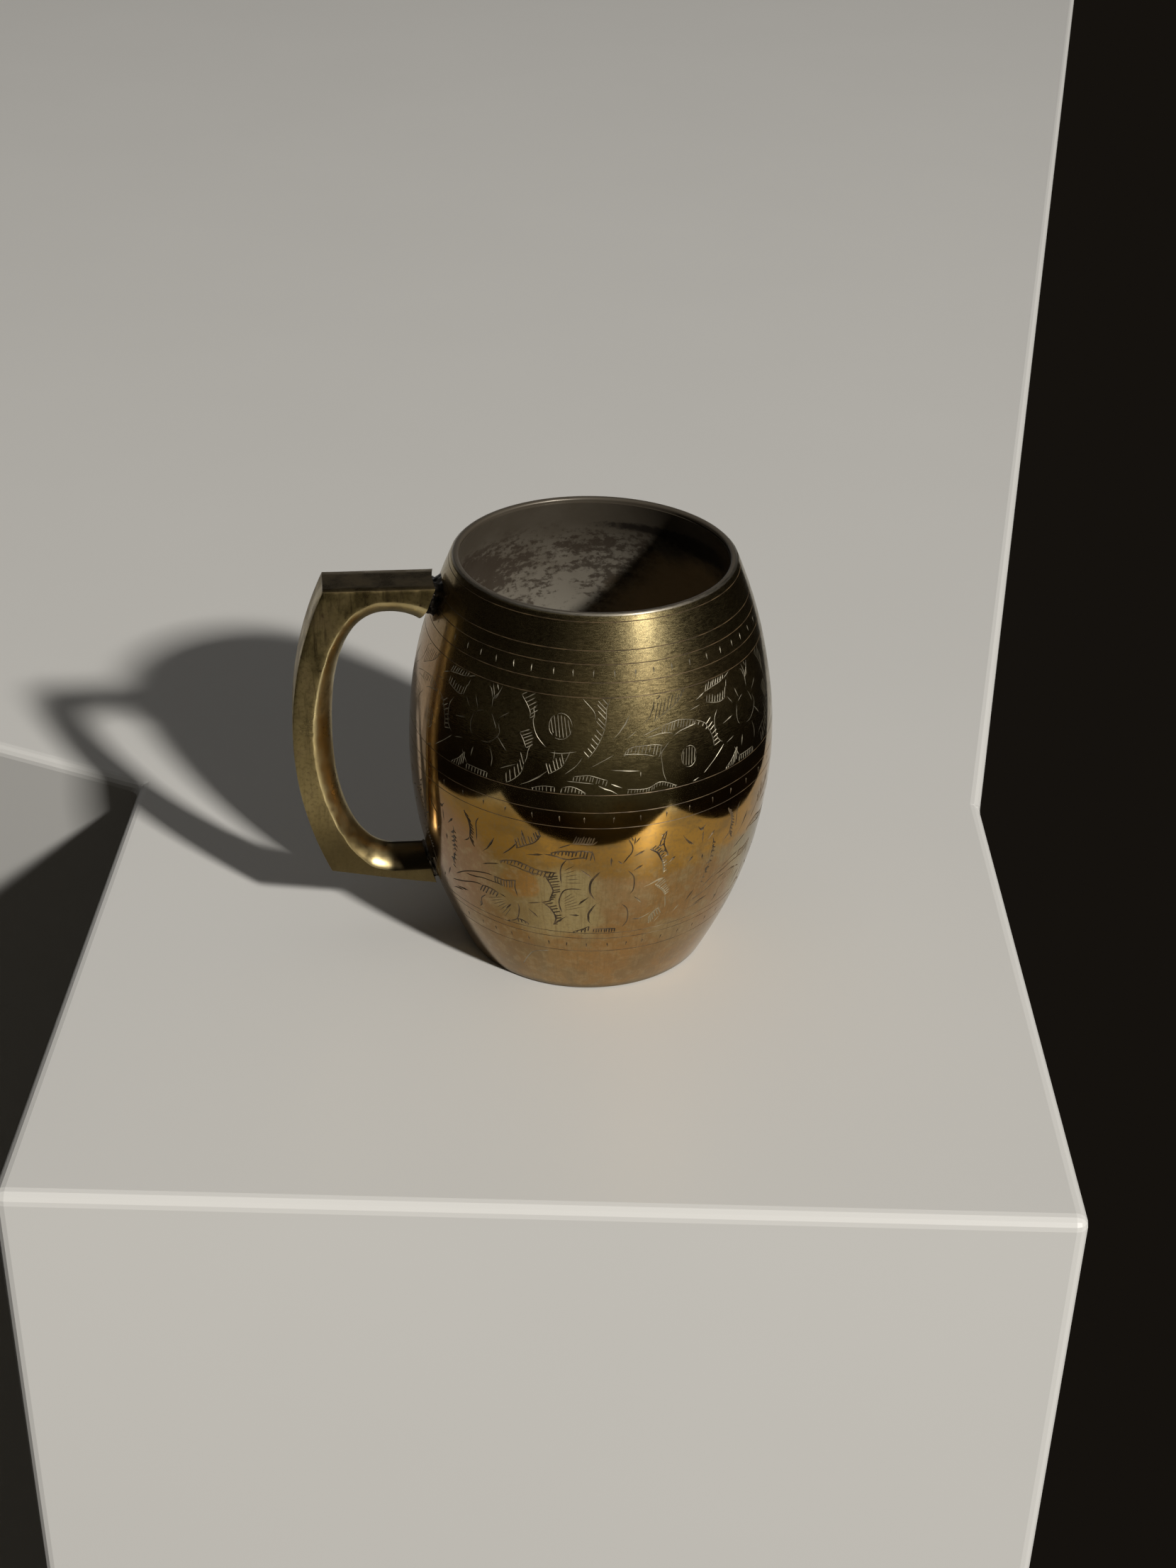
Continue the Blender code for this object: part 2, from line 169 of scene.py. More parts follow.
# Single lines of one repeat.
UPPER_LINES = (
    ((-8.2, 88.7), (-5.6, 86.3), (-4.8, 84.9), (-4.8, 83.5)),
    ((-19.4, 86.2), (-20.6, 85.4), (-20.2, 83.6), (-20.5, 82.3), (-19.7, 79.8), (-18.6, 78.2),
     (-16.7, 76.4)),
    ((-20.3, 77.0), (-21.2, 75.0), (-21.4, 73.3), (-22.0, 71.4)),
    ((-28.3, 68.9), (-25.5, 70.3), (-24.0, 71.0)),
    ((-10.6, 76.4), (-11.4, 74.5), (-12.1, 73.0)),
    ((-15.8, 75.4), (-13.0, 75.4), (-9.2, 76.1)),
    ((-14.5, 76.0), (-14.7, 73.7)),
    ((-7.7, 74.8), (-9.2, 72.6), (-11.9, 70.3)),
    ((-5.8, 72.3), (-0.2, 75.4)),
    ((-11.4, 68.6), (-8.3, 68.5), (-4.8, 68.2)),
    ((32.5, 87.7), (35.2, 88.7)),
    ((33.0, 85.4), (33.6, 87.3)),
    ((33.0, 83.3), (34.8, 81.1)),
    ((7.0, 79.5), (10.1, 80.6), (12.0, 81.2)),
    ((8.0, 78.9), (11.7, 79.5), (13.9, 79.3), (15.2, 78.9)),
    ((21.4, 80.9), (23.9, 79.7), (25.2, 78.7)),
    ((28.9, 81.4), (27.8, 79.8), (27.5, 78.2), (27.8, 75.4), (28.9, 73.6), (29.8, 72.9)),
    ((2.0, 75.3), (4.8, 75.3), (8.0, 74.8), (10.0, 74.2)),
    ((13.9, 77.2), (11.7, 74.8), (10.8, 73.6)),
    ((12.3, 76.0), (11.7, 73.9), (11.9, 72.0), (12.2, 69.5), (13.0, 67.3)),
    ((34.0, 70.2), (36.0, 67.0)),
    ((30.2, 72.3), (27.3, 69.8), (25.2, 68.2), (23.4, 66.8)),
    ((3.1, 79.2), (5.7, 81.0)),
    ((20.2, 83.4), (23.5, 84.0)),
    ((-37.6, 80.2), (-38.1, 77.5), (-37.6, 75.3), (-37.0, 74.8)),
    ((-30.0, 80.0), (-29.2, 77.6), (-30.4, 75.7), (-32.2, 74.4), (-34.4, 74.2)),
    ((-37.0, 80.6), (-34.6, 81.8)),
    ((-31.6, 73.6), (-30.6, 71.0), (-30.8, 68.6)),
    ((-40.0, 73.0), (-43.0, 72.2)),
)
LOWER_LINES = (
    ((-33.9, 53.9), (-34.9, 52.0), (-34.9, 49.2), (-35.0, 46.7)),
    ((-37.2, 47.0), (-38.0, 45.8), (-39.5, 44.8)),
    ((-27.5, 45.4), (-25.5, 47.3), (-23.9, 49.2), (-23.1, 50.8)),
    ((-13.1, 50.3), (-10.8, 51.4), (-9.6, 51.9)),
    ((-4.8, 51.8), (-3.6, 52.9)),
    ((-16.7, 48.1), (-13.9, 47.9), (-11.7, 47.3), (-10.2, 47.3), (-8.0, 47.9), (-5.5, 47.9)),
    ((-4.9, 50.3), (-4.5, 48.6), (-4.1, 46.7)),
    ((-26.4, 42.8), (-23.6, 42.5), (-20.8, 41.8), (-17.0, 41.7)),
    ((-28.6, 42.0), (-31.7, 41.0), (-33.9, 40.0)),
    ((-44.9, 32.0), (-41.1, 34.5), (-37.4, 36.2), (-33.6, 37.3), (-30.8, 37.5)),
    ((-40.5, 34.2), (-36.7, 34.8), (-34.2, 35.4), (-28.0, 35.4)),
    ((-24.9, 36.7), (-24.2, 32.9)),
    ((-47.4, 29.0), (-42.7, 30.6), (-38.0, 32.5), (-34.9, 32.9)),
    ((-29.8, 32.2), (-27.7, 31.5)),
    ((-34.2, 30.0), (-36.3, 28.0), (-36.6, 25.8), (-38.0, 24.5)),
    ((-24.4, 30.8), (-24.2, 28.9), (-24.7, 26.4), (-25.5, 24.8), (-27.7, 23.5)),
    ((-21.7, 31.4), (-17.7, 32.6)),
    ((-10.9, 47.2), (-12.0, 45.6), (-12.5, 43.6), (-12.4, 40.8), (-12.2, 39.5)),
    ((-7.7, 44.5), (-4.7, 42.0)),
    ((-7.0, 38.2), (-9.9, 38.2), (-11.6, 37.5), (-12.5, 35.8), (-13.0, 33.6), (-12.7, 31.4),
     (-12.2, 30.1)),
    ((-2.5, 44.0), (-3.9, 42.6), (-5.0, 40.9), (-5.3, 38.9), (-5.0, 36.7), (-3.6, 34.8)),
    ((-3.0, 43.2), (-4.1, 42.0), (-4.8, 40.7), (-5.1, 38.9), (-4.9, 37.0), (-4.2, 35.8)),
    ((-3.4, 33.7), (-4.9, 31.4), (-5.5, 29.8), (-5.2, 27.3), (-4.7, 26.7)),
    ((-4.0, 32.4), (-4.8, 31.1), (-5.3, 29.8), (-5.0, 27.8)),
    ((-27.7, 23.5), (-31.0, 22.9), (-34.5, 22.7)),
    ((3.9, 44.0), (5.5, 42.0), (5.9, 40.1), (5.8, 37.6), (5.0, 36.2)),
    ((3.1, 33.3), (4.5, 31.7), (5.1, 29.5), (5.0, 27.0), (3.9, 25.1)),
    ((6.2, 27.6), (8.3, 27.5), (10.2, 28.2), (11.7, 29.2)),
    ((3.6, 53.3), (4.8, 51.0), (4.8, 49.2), (3.9, 47.9), (2.6, 45.9)),
    ((1.4, 47.0), (2.6, 45.9)),
    ((4.5, 53.6), (5.0, 52.3)),
    ((5.5, 53.6), (5.3, 51.2)),
    ((6.7, 53.3), (5.5, 51.7)),
    ((13.1, 53.6), (12.3, 51.7), (11.7, 49.8), (11.1, 48.9)),
    ((14.8, 33.9), (15.3, 31.5), (15.5, 29.5)),
    ((14.5, 27.3), (13.0, 25.1)),
    ((22.2, 52.6), (23.6, 51.0), (24.2, 52.0), (24.9, 52.7)),
    ((24.1, 50.8), (24.1, 49.2), (24.2, 47.0)),
)
# Deep ticks of one repeat, widest towards their last point.
UPPER_TICKS = (
    ((-23.0, 65.9), (-19.9, 67.6), (-17.7, 69.2), (-16.1, 70.7)),
    ((0.9, 65.4), (-0.2, 66.2), (-2.3, 67.0), (-3.9, 67.8)),
    ((2.0, 67.0), (-0.8, 68.2)),
    ((-1.1, 71.7), (6.1, 71.0)),
    ((6.4, 69.5), (6.4, 70.8)),
    ((7.0, 82.0), (8.9, 83.6), (10.1, 86.0), (10.5, 88.3)),
    ((11.0, 87.5), (12.2, 88.4)),
    ((22.3, 85.3), (25.2, 86.5)),
    ((14.8, 78.2), (17.0, 79.2), (20.2, 79.8), (22.0, 80.0)),
    ((22.0, 66.2), (20.2, 65.6)),
    ((-0.5, 79.0), (2.2, 82.0), (3.9, 85.0)),
    ((-36.4, 81.4), (-37.7, 84.3)),
    ((-43.8, 77.3), (-39.9, 78.2)),
    ((-37.0, 69.3), (-36.4, 72.0)),
    ((-30.0, 80.9), (-27.2, 82.9)),
    ((-32.2, 81.7), (-31.1, 80.1), (-30.2, 78.1)),
    ((-30.6, 77.2), (-28.9, 75.8), (-26.9, 73.6)),
    ((-34.2, 87.8), (-33.0, 87.0), (-32.5, 85.1)),
    ((-33.0, 88.7), (-32.2, 86.7), (-32.0, 85.4)),
    ((-30.9, 87.3), (-31.6, 88.7)),
    ((-29.9, 88.7), (-29.7, 87.6), (-31.7, 86.2), (-32.3, 84.5), (-32.3, 82.6)),
)
LOWER_TICKS = (
    ((-21.4, 50.3), (-22.2, 53.9)),
    ((-21.1, 47.0), (-16.7, 47.9)),
    ((-33.6, 43.9), (-32.0, 45.4), (-30.6, 47.6), (-29.5, 49.7)),
    ((-5.2, 35.9), (-7.4, 33.9), (-8.0, 33.1)),
    ((-10.6, 29.5), (-7.7, 29.5)),
    ((5.1, 47.8), (8.0, 49.3)),
    ((5.1, 43.4), (7.8, 45.1)),
    ((6.2, 35.4), (8.4, 32.9)),
    ((-0.2, 45.3), (-0.2, 48.1)),
    ((-28.4, 27.5), (-26.4, 29.7)),
    ((-21.7, 29.8), (-18.9, 27.2)),
    ((25.7, 47.2), (28.0, 49.7)),
    ((18.0, 51.4), (19.5, 49.2), (21.6, 47.5)),
    ((20.2, 42.5), (21.7, 44.2)),
    ((24.7, 41.7), (24.7, 43.7)),
    ((21.6, 29.3), (23.9, 32.9)),
    ((18.1, 26.8), (20.0, 29.3)),
    ((24.5, 27.3), (30.0, 28.3)),
    ((-48.5, 25.8), (-46.0, 26.8), (-43.2, 27.3)),
    ((-11.1, 28.9), (-13.0, 27.3), (-14.9, 25.4)),
    ((14.5, 44.2), (16.4, 45.8)),
    ((8.3, 37.9), (10.8, 38.9), (12.6, 39.8), (14.0, 40.0)),
)
# Fans of hair-fine cuts in the petals of one repeat: first hair, last hair, number of hairs.
LOWER_FANS = (
    (((-12.1, 34.4), (-9.3, 37.0)), ((-11.7, 30.9), (-6.6, 32.6)), 6),
    (((-28.8, 31.2), (-33.9, 29.2)), ((-26.6, 28.4), (-29.4, 24.1)), 7),
    (((-11.8, 43.6), (-9.0, 45.6)), ((-11.6, 40.0), (-7.0, 40.2)), 5),
)
# Scratch near the foot.
SCRATCH = ((-27.2, 7.0), (-24.0, 11.5), (-21.5, 14.0), (-16.5, 15.6))
# Hatched hearts of the blossoms: centre, half width, half height, lean of the hatching, number of cuts.
UPPER_HEARTS = (((-13.4, 81.9), 2.9, 3.1, -0.45, 6), ((19.2, 72.4), 2.1, 2.7, 0.15, 5))
# A heart's broken ring in degrees, and the hatching's shares of its width and height.
HEART_STARTS = (0, 120, 240)
HEART_ARC = 112
HEART_HATCH = (0.75, 0.9)

# Handle, in distance from the axis and height.
HANDLE_SPAN = 78.6 * MM
GRIP_DEPTH = 9.8 * MM
UPPER_SETBACK = 8.8 * MM
LOWER_SETBACK = 8.3 * MM
UPPER_ARM_DEPTH = 8.1 * MM
UPPER_ARM_FLARE = 1.6 * MM
LOWER_ARM_DEPTH = 7.4 * MM
LOWER_ARM_FALL = math.tan(math.radians(11.0))
OPENING_HALF_WIDTH = 14.6 * MM
UPPER_ROUNDNESS = 2.4
LOWER_ROUNDNESS = 2.1
GRIP_ROUND = 4.9 * MM
ARM_ROUND = 5.0 * MM
ARM_ROUND_POWER = 6
ROUND_POWER = 1.45
EDGE_ROUND = 0.45 * MM
EDGE_BEND = 0.3
UPPER_GAP = 2.2 * MM
LOWER_GAP = 1.1 * MM
CREASE_WANDER = 0.3 * MM
CREASE_WAVES = 11
CAST_LUMP = 0.12 * MM
CAST_LUMP_SCALE = 90
HANDLE_SHARP = math.radians(32)
ARM_STATIONS = 12
GRIP_STATIONS = 96
GRIP_SPREAD = 2.1
CORNER_STEP = 0.006
CORNER_CLEARANCE = 0.01
LEAST_SLANT = 1e-6
FLANK_STEPS = 5
ROUND_STEPS = 8
BACK_STEPS = 6

# Solder pads and tin.
SOLDER_CUTS = 15
SOLDER_LUMP = 0.45 * MM
SOLDER_LUMP_SCALE = 420
SOLDER_GRAIN = 3 * MM
SOLDER_FRACTAL = (0.8, 2.2, 3)
SOLDER_INSET = 0.9 * MM
SOLDER_SPREAD = 0.5 * MM
SOLDER_HOLLOW = 0.5 * MM
SOLDER_BOW = 0.28
SOLDER_SUNK = 0.2 * MM
SOLDER_OVERLAP = 0.3 * MM
TIN_DEPTH = WALL + 0.3 * MM
TIN_THICKNESS = 0.3 * MM
TIN_DROP = 1.3 * MM
TIN_FLOOR = 2.3 * MM
TIN_CORNER = 5.5 * MM
TIN_CORNER_SHIFT = 0.7
TIN_CORNER_STEPS = 8
TIN_ROWS = 24
TIN_COLUMNS = 144
TIN_FLOOR_SHARES = (0.8, 0.55, 0.3, 0.1)
TIN_SHARP = math.radians(40)

# Pairs of tones that a noise mixes: limits of the noise, first tone, second tone.
OLIVE = (0.38, 0.66, (0.58, 0.47, 0.23), (0.50, 0.38, 0.18))
TARNISH = (0.44, 0.56, (0.36, 0.25, 0.11), (0.35, 0.20, 0.07))
FOOT_TARNISH = (0.42, 0.60, (0.33, 0.20, 0.075), (0.25, 0.17, 0.08))
AMBER = (0.40, 0.62, (0.48, 0.255, 0.045), (0.33, 0.18, 0.04))
FILED = (0.35, 0.68, (0.43, 0.335, 0.15), (0.33, 0.25, 0.105))
RUBBED = (0.35, 0.68, (0.58, 0.48, 0.25), (0.48, 0.37, 0.17))
TIN_GREY = (0.35, 0.65, (0.28, 0.25, 0.20), (0.17, 0.145, 0.11))
TURNED = (0.35, 0.65, (0.52, 0.36, 0.15), (0.36, 0.24, 0.11))
BRIGHT_CUT = (0.40, 0.62, (0.42, 0.38, 0.285), (0.20, 0.175, 0.125))
DIRTY_CUT = (0.40, 0.62, (0.15, 0.10, 0.05), (0.055, 0.036, 0.018))
BLACK_SOLDER = (0.38, 0.64, (0.016, 0.014, 0.012), (0.07, 0.06, 0.05))
GREY_SOLDER = (0.38, 0.64, (0.075, 0.064, 0.05), (0.22, 0.20, 0.165))
# The stage's two tones, which a noise mixes evenly.
PAINT = ((0.77, 0.76, 0.73), (0.80, 0.79, 0.76))

# Coats: the limits between which a height or a noise brings them in, strength, colour.
RIM_COAT = (0.086, 0.102, 0.65, (0.27, 0.22, 0.115))
STREAK_COAT = (0.46, 0.62, 0.5, (0.24, 0.15, 0.05))
SPOT_COAT = (0.62, 0.80, 0.45, (0.24, 0.15, 0.07))
GRAIN_COAT = (0.45, 0.72, 0.4, (0.22, 0.155, 0.07))
GROUND_COAT = (0.0024, 0.0008, 0.7, (0.15, 0.12, 0.075))
CAST_STAIN_COAT = (0.50, 0.64, 0.6, (0.22, 0.16, 0.08))
# Partly tarnish, partly painted dark reflection: the handle's top face is darker.
CAST_TOP_TARNISH_AND_SHADE = (HANDLE_TOP - 0.45 * MM, HANDLE_TOP - 0.2 * MM, 0.7, (0.17, 0.125, 0.065))
CAST_GRAIN_COAT = (0.46, 0.68, 0.5, (0.16, 0.12, 0.055))
CAST_PIT_COAT = (0.66, 0.76, 0.8, (0.12, 0.07, 0.04))
# Painted shade: the handle darkens towards its lower arm.
CAST_LOW_SHADE = (0.046, 0.028, 0.88, (0.085, 0.062, 0.026))
RUBBED_STAIN_COAT = (0.56, 0.72, 0.7, (0.20, 0.13, 0.06))
TIN_RIM_COAT = (0.084, 0.100, 0.75, (0.075, 0.06, 0.042))
TIN_LOW_COAT = (0.082, 0.064, 0.8, (0.36, 0.33, 0.27))
# Colours of coats that two shares bring in together.
MOTTLE = (0.46, 0.37, 0.20)
WIPED = (0.22, 0.14, 0.06)
LIP_BRASS = (0.42, 0.38, 0.31)
DRAWN = (0.17, 0.125, 0.06)
# Painted shadow: the black of the lower arm's finger side next to the barrel.
ARM_SHADE = (0.020, 0.013, 0.007)
SPECKS = (0.045, 0.03, 0.02)

# A coat of mixed colour: limits and strength.
FOOT_COAT = (0.021, 0.013, 0.75)

# The middle of a noise, and how far the barrel's levels stray with one, in metres.
NOISE_MIDDLE = 0.5
UNEVEN_LEVEL = 0.018
# Levels between which a look comes in, in metres up; the painted shadow on the lower arm also has a reach
# along the handle.
LOWER_LEVEL = (0.062, 0.047)
FILM_FOOT = (0.040, 0.044)
FILM_TOP = (0.066, 0.058)
FILM_STRENGTH = 0.9
MOTTLE_LEVEL = (0.050, 0.040)
SCUFF_LEVEL = (0.060, 0.084)
DULL_LEVEL = (0.046, 0.036)
LIP_LEVEL = (HEIGHT - 0.9 * LIP_ROUND, HEIGHT - 0.5 * LIP_ROUND)
DRAWN_LEVEL = (0.050, 0.085)
ARM_SHADE_LEVEL = (0.0400, 0.0355)
ARM_SHADE_REACH = (-0.0545, -0.0500)
SPECKS_FOOT = (0.045, 0.070)
SPECKS_TOP = (0.1015, 0.0945)

# Oval stains and patches of painted light and shade: colour, strength, place (degrees from the front,
# metres up, half sizes), fray and softness.
PALE_STAINS = [
    ((0.46, 0.37, 0.175), 0.75, (turn, 0.033, 22.0, 0.0125), 2.4, 0.4) for turn in (-23.0, 67.0, 157.0)
]
RUST_STAIN = ((0.50, 0.24, 0.06), 0.8, (-29.0, 0.038, 6.5, 0.005), 1.6, 0.3)
BROWN_STAIN = ((0.33, 0.20, 0.09), 0.6, (4.0, 0.036, 9.0, 0.010), 1.6, 0.5)
FOOT_STAIN = ((0.38, 0.21, 0.07), 0.5, (0.0, 0.013, 14.0, 0.006), 2.0, 0.5)
# Painted reflections on the barrel's sides: rosy brown towards the handle, dark brown on the far side.
ROSY_LEFT_REFLECTION = ((0.36, 0.21, 0.11), 0.75, (-78.0, 0.062, 24.0, 0.040), 1.2, 0.6)
DARK_RIGHT_REFLECTION = ((0.17, 0.125, 0.06), 0.7, (82.0, 0.060, 30.0, 0.050), 1.2, 0.6)
# Painted shade: the barrel's lower left front darkens towards the handle.
LOWER_LEFT_SHADE = ((0.17, 0.09, 0.015), 0.65, (-46.0, 0.036, 22.0, 0.034), 1.2, 0.8)
COPPER_STAIN = ((0.30, 0.17, 0.10), 0.6, (-55.0, 0.037, 15.0, 0.015), 1.6, 0.6)
# Painted bounce light: a pale golden patch that brightens the tin's shaded right-back side.
TIN_SHADE_GLOW = ((0.80, 0.58, 0.32), 0.85, (118.0, 0.058, 51.0, 0.034), 1.2, 0.3)
TIN_STREAKS = (
    ((0.02, 0.015, 0.012), 0.9, (143.0, 0.0985, 26.0, 0.0014), 3.4, 0.7),
    ((0.02, 0.015, 0.012), 0.9, (124.0, 0.0970, 20.0, 0.0030), 3.4, 0.7),
)
# The first is painted shade, darkening the cuts inside the sheen under the rim; the others are dust.
DUST_AND_SHADE_CUTS = (
    ((0.04, 0.032, 0.016), 0.8, (14.0, 0.0885, 12.0, 0.0062), 2.2, 0.5),
    ((0.04, 0.032, 0.016), 0.8, (74.0, 0.0780, 27.0, 0.0170), 2.2, 0.5),
    ((0.04, 0.032, 0.016), 0.8, (-43.0, 0.0785, 12.0, 0.0078), 2.2, 0.5),
)
BARE_CUTS = (((0.36, 0.29, 0.17), 0.8, (17.0, 0.034, 8.0, 0.011), 2.2, 0.5),)
# Place, fray and softness of the denser specks in the tin.
TIN_SMOKE = ((-128.0, 0.087, 34.0, 0.009), 1.6, 0.6)

# Camera, in the row frame.
CAMERA_PLACE = (-65.9 * MM, -498.6 * MM, 335.6 * MM)
CAMERA_TURN = -7.5
CAMERA_DROP = 30.293
CAMERA_ROLL = 1.403
CAMERA_LENS = 52.08
CAMERA_SENSOR = 36.0
CAMERA_NEAR = 0.01

# Stage: a pale floor whose front part is a block under the mug.
STAGE_FRONT = -0.116
STAGE_STEP = 0.065
STAGE_LEFT = -0.131
STAGE_RIGHT = 0.114
STAGE_FAR_RIGHT = 0.415
STAGE_FAR_LEFT = -0.9
STAGE_TURN = 0.40
STAGE_BACK = 1.6
STAGE_DROP = 0.6
STAGE_EDGE = 0.003
STAGE_EDGE_STEPS = 4

# Lamps: name, place, target, size, watts, colour.
LAMPS = (
    ("key", (3.90, -6.125, 4.55), (0.0, 0.0, 0.05), 0.50, 750.0, (1.0, 0.97, 0.92)),
    ("overhead", (-0.1, 0.25, 1.6), (0.0, 0.25, 0.0), 1.2, 1.3, (1.0, 0.99, 0.98)),
)

# Room light: colours, and how far a direction has to point a way for them.
ROOM_DARK = (0.0075, 0.0060, 0.0045)
FRONT_GLOW = (0.048, 0.044, 0.034)
FRONT_GLOW_WAY = (0.22, -0.97, 0.08)
FRONT_GLOW_SPAN = (0.62, 0.96)
CEILING_GLOW = (0.060, 0.058, 0.054)
CEILING_SPAN = (0.50, 0.90)
BACK_GLOW = (0.42, 0.41, 0.40)
BACK_SPAN = (0.75, 0.97)
BACK_GLOW_TOP = (0.40, 0.10)
BACK_GLOW_FOOT = (-0.16, -0.06)

HEIGHT_MM = HEIGHT / MM
BELLY_MM = BELLY_RADIUS / MM
SHEET_LENGTH = math.tau * BELLY_MM
SHEET_SEAM = SHEET_SEAM_TURN * SHEET_LENGTH
SHEET_LOW = FOOT_CHAMFER / MM
SHEET_HIGH = HEIGHT_MM - LIP_ROUND / MM
OPENING_CENTRE = HANDLE_BACK - GRIP_DEPTH - OPENING_HALF_WIDTH
OPENING_TOP = HANDLE_TOP - UPPER_ARM_DEPTH
CHANCE = np.random.default_rng(7)


def add_piece(name, mesh, materials, node):
    """A piece of the object that rides on the one body, in the place of a CAD node."""
    piece = bpy.data.objects.new(name, mesh)
    bpy.context.scene.collection.objects.link(piece)
    for material in materials:
        mesh.materials.append(material)
    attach(piece, "root")
    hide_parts(node)


def bridge(rows):
    """Quads between neighbouring rings of vertex numbers."""
    quads = []
    for a, b in zip(rows, rows[1:]):
        quads += zip(a, a[1:] + a[:1], b[1:] + b[:1], b)
    return quads


def ring(radius, height, turns):
    """Points round the axis; a turn of zero faces the front."""
    return [(radius * math.sin(turn), -radius * math.cos(turn), height) for turn in turns]


def tube(name, sections):
    """A closed mesh through rings of points, with a face over each end."""
    vertices = [point for section in sections for point in section]
    rows = np.arange(len(vertices)).reshape(len(sections), -1).tolist()
    mesh = bpy.data.meshes.new(name)
    mesh.from_pydata(vertices, [], bridge(rows) + [rows[0][::-1], rows[-1]])
    return mesh


def write_outward(solid, mesh):
    """Turns a solid's faces outward and writes it to a mesh."""
    bmesh.ops.recalc_face_normals(solid, faces=solid.faces)
    solid.to_mesh(mesh)
    solid.free()


def smooth(mesh, sharp=None):
    """Shades a mesh smooth, but for edges over an angle."""
    mesh.polygons.foreach_set("use_smooth", np.ones(len(mesh.polygons), bool))
    if sharp:
        mesh.set_sharp_from_angle(angle=sharp)


def stave(height):
    """Radius of the barrel's outside at heights, and its change for each metre up."""
    rise = height - BELLY_HEIGHT
    reach = np.where(rise > 0, HEIGHT - BELLY_HEIGHT, BELLY_HEIGHT)
    drop = BELLY_RADIUS - np.where(rise > 0, RIM_RADIUS, FOOT_RADIUS)
    return BELLY_RADIUS - drop * (rise / reach) ** 2, -2 * drop * rise / reach**2


def barrel_radius(height, depth=0.0):
    """Radius at a depth under the barrel's outside, measured square to the wall."""
    radius, slope = stave(height)
    return radius - depth * np.hypot(1, slope)


def wobble(turn, height):
    """Unevenness of the hand-worked wall, which dies out at the rim and the foot."""
    waves = 0.0
    for share, count, phase, start in WOBBLE_WAVES:
        waves = waves + share * np.sin(count * turn + phase * height / MM + start)
    return WOBBLE * waves * np.sin(np.pi * np.clip(height / HEIGHT, 0, 1)) ** 0.5


def outside(turn, height, depth=0.0):
    """Points of the barrel's outside, cut to a depth."""
    radius, slope = stave(height)
    lean = np.hypot(1, slope)
    out = wobble(turn, height) - depth
    reach = radius + out / lean
    return np.stack((reach * np.sin(turn), -reach * np.cos(turn), height - out * slope / lean), axis=-1)


def outside_normal(turn, height):
    """Outward directions of the uncut outside."""
    around = outside(turn + SMALL_TURN, height) - outside(turn - SMALL_TURN, height)
    upward = outside(turn, height + SMALL_RISE) - outside(turn, height - SMALL_RISE)
    normal = np.cross(around, upward)
    return normal / np.linalg.norm(normal, axis=-1, keepdims=True)


def dense(points):
    """Close points on a smooth line through the given ones."""
    points = np.array(points, float)
    if len(points) == 2:
        return points[0] + np.linspace(0, 1, LINE_STEPS)[:, None] * (points[1] - points[0])
    ends = np.vstack((2 * points[0] - points[1], points, 2 * points[-1] - points[-2]))
    t = np.linspace(0, 1, LINE_STEPS, endpoint=False)[:, None]
    spans = []
    for a, b, c, d in zip(ends, ends[1:], ends[2:], ends[3:]):
        bend = a - 2.5 * b + 2 * c - d / 2
        twist = 1.5 * (b - c) + (d - a) / 2
        spans.append(b + t * ((c - a) / 2 + t * (bend + t * twist)))
    return np.vstack(spans + [points[-1:]])


def lengths(line):
    """How far along a line each of its points is."""
    return np.concatenate(([0], np.cumsum(np.linalg.norm(np.diff(line, axis=0), axis=1))))


def at_lengths(line, marks):
    """Points of a line at given lengths along it."""
    return np.stack([np.interp(marks, lengths(line), line[:, axis]) for axis in (0, 1)], axis=-1)


def cut(line, width, wedge=False, fade=CUT_FADES[0]):
    """A cut along a line: points and half widths, running out at both ends; a wedge ends bluntly."""
    length = lengths(line)[-1]
    fade_in = WEDGE_FADES[0] * length if wedge else min(fade, length / 3)
    fade_out = WEDGE_FADES[1] * length if wedge else fade_in
    steps = max(2, math.ceil((length - fade_in - fade_out) / STROKE_STEP))
    middle = np.linspace(fade_in, length - fade_out, steps + 1)
    marks = np.concatenate(([0, fade_in / 2], middle, [length]))
    halves = width / 2 * np.minimum(1, np.minimum(marks / fade_in, (length - marks) / fade_out))
    return at_lengths(line, marks), halves


def kept_in(band, line):
    """The stretches of a line that lie within a band of heights."""
    inside = (line[:, 1] > band[0]) & (line[:, 1] < band[1])
    stretches = np.split(np.arange(len(line)), np.flatnonzero(np.diff(inside)) + 1)
    return [line[part] for part in stretches if inside[part[0]] and len(part) > 2]


def comb(points, teeth, first, last):
    """A smooth spine, and teeth along it whose reach changes from the first one to the last."""
    spine = dense(points)
    share = np.linspace(*TOOTH_ENDS, teeth) + CHANCE.uniform(-TOOTH_SHIFT, TOOTH_SHIFT, teeth) / teeth
    roots = at_lengths(spine, share * lengths(spine)[-1])
    reach = np.array(first) + share[:, None] * (np.array(last) - first)
    return spine, list(zip(roots, roots + reach * CHANCE.uniform(*TOOTH_STRETCH, (teeth, 1))))


def heart(centre, half_width, half_height, lean, cuts):
    """A blossom's heart: a broken ring with leaning cuts across it."""
    rings, hatches = [], []
    for start in HEART_STARTS:
        angles = np.radians(np.linspace(start, start + HEART_ARC, ARC_STEPS))
        across = centre[0] + half_width * np.cos(angles)
        rings.append(np.stack((across, centre[1] + half_height * np.sin(angles)), axis=-1))
    for share in np.linspace(-HEART_HATCH[0], HEART_HATCH[0], cuts):
        half = HEART_HATCH[1] * half_height * math.sqrt(1 - share * share)
        x = centre[0] + share * half_width
        hatches.append(((x - lean, centre[1] - half), (x + lean, centre[1] + half)))
    return rings, hatches


def fan(first, last, count):
    """Hairs that turn from a first one to a last one."""
    first, last = np.array(first), np.array(last)
    return [first + share * (last - first) for share in np.linspace(0, 1, count)]


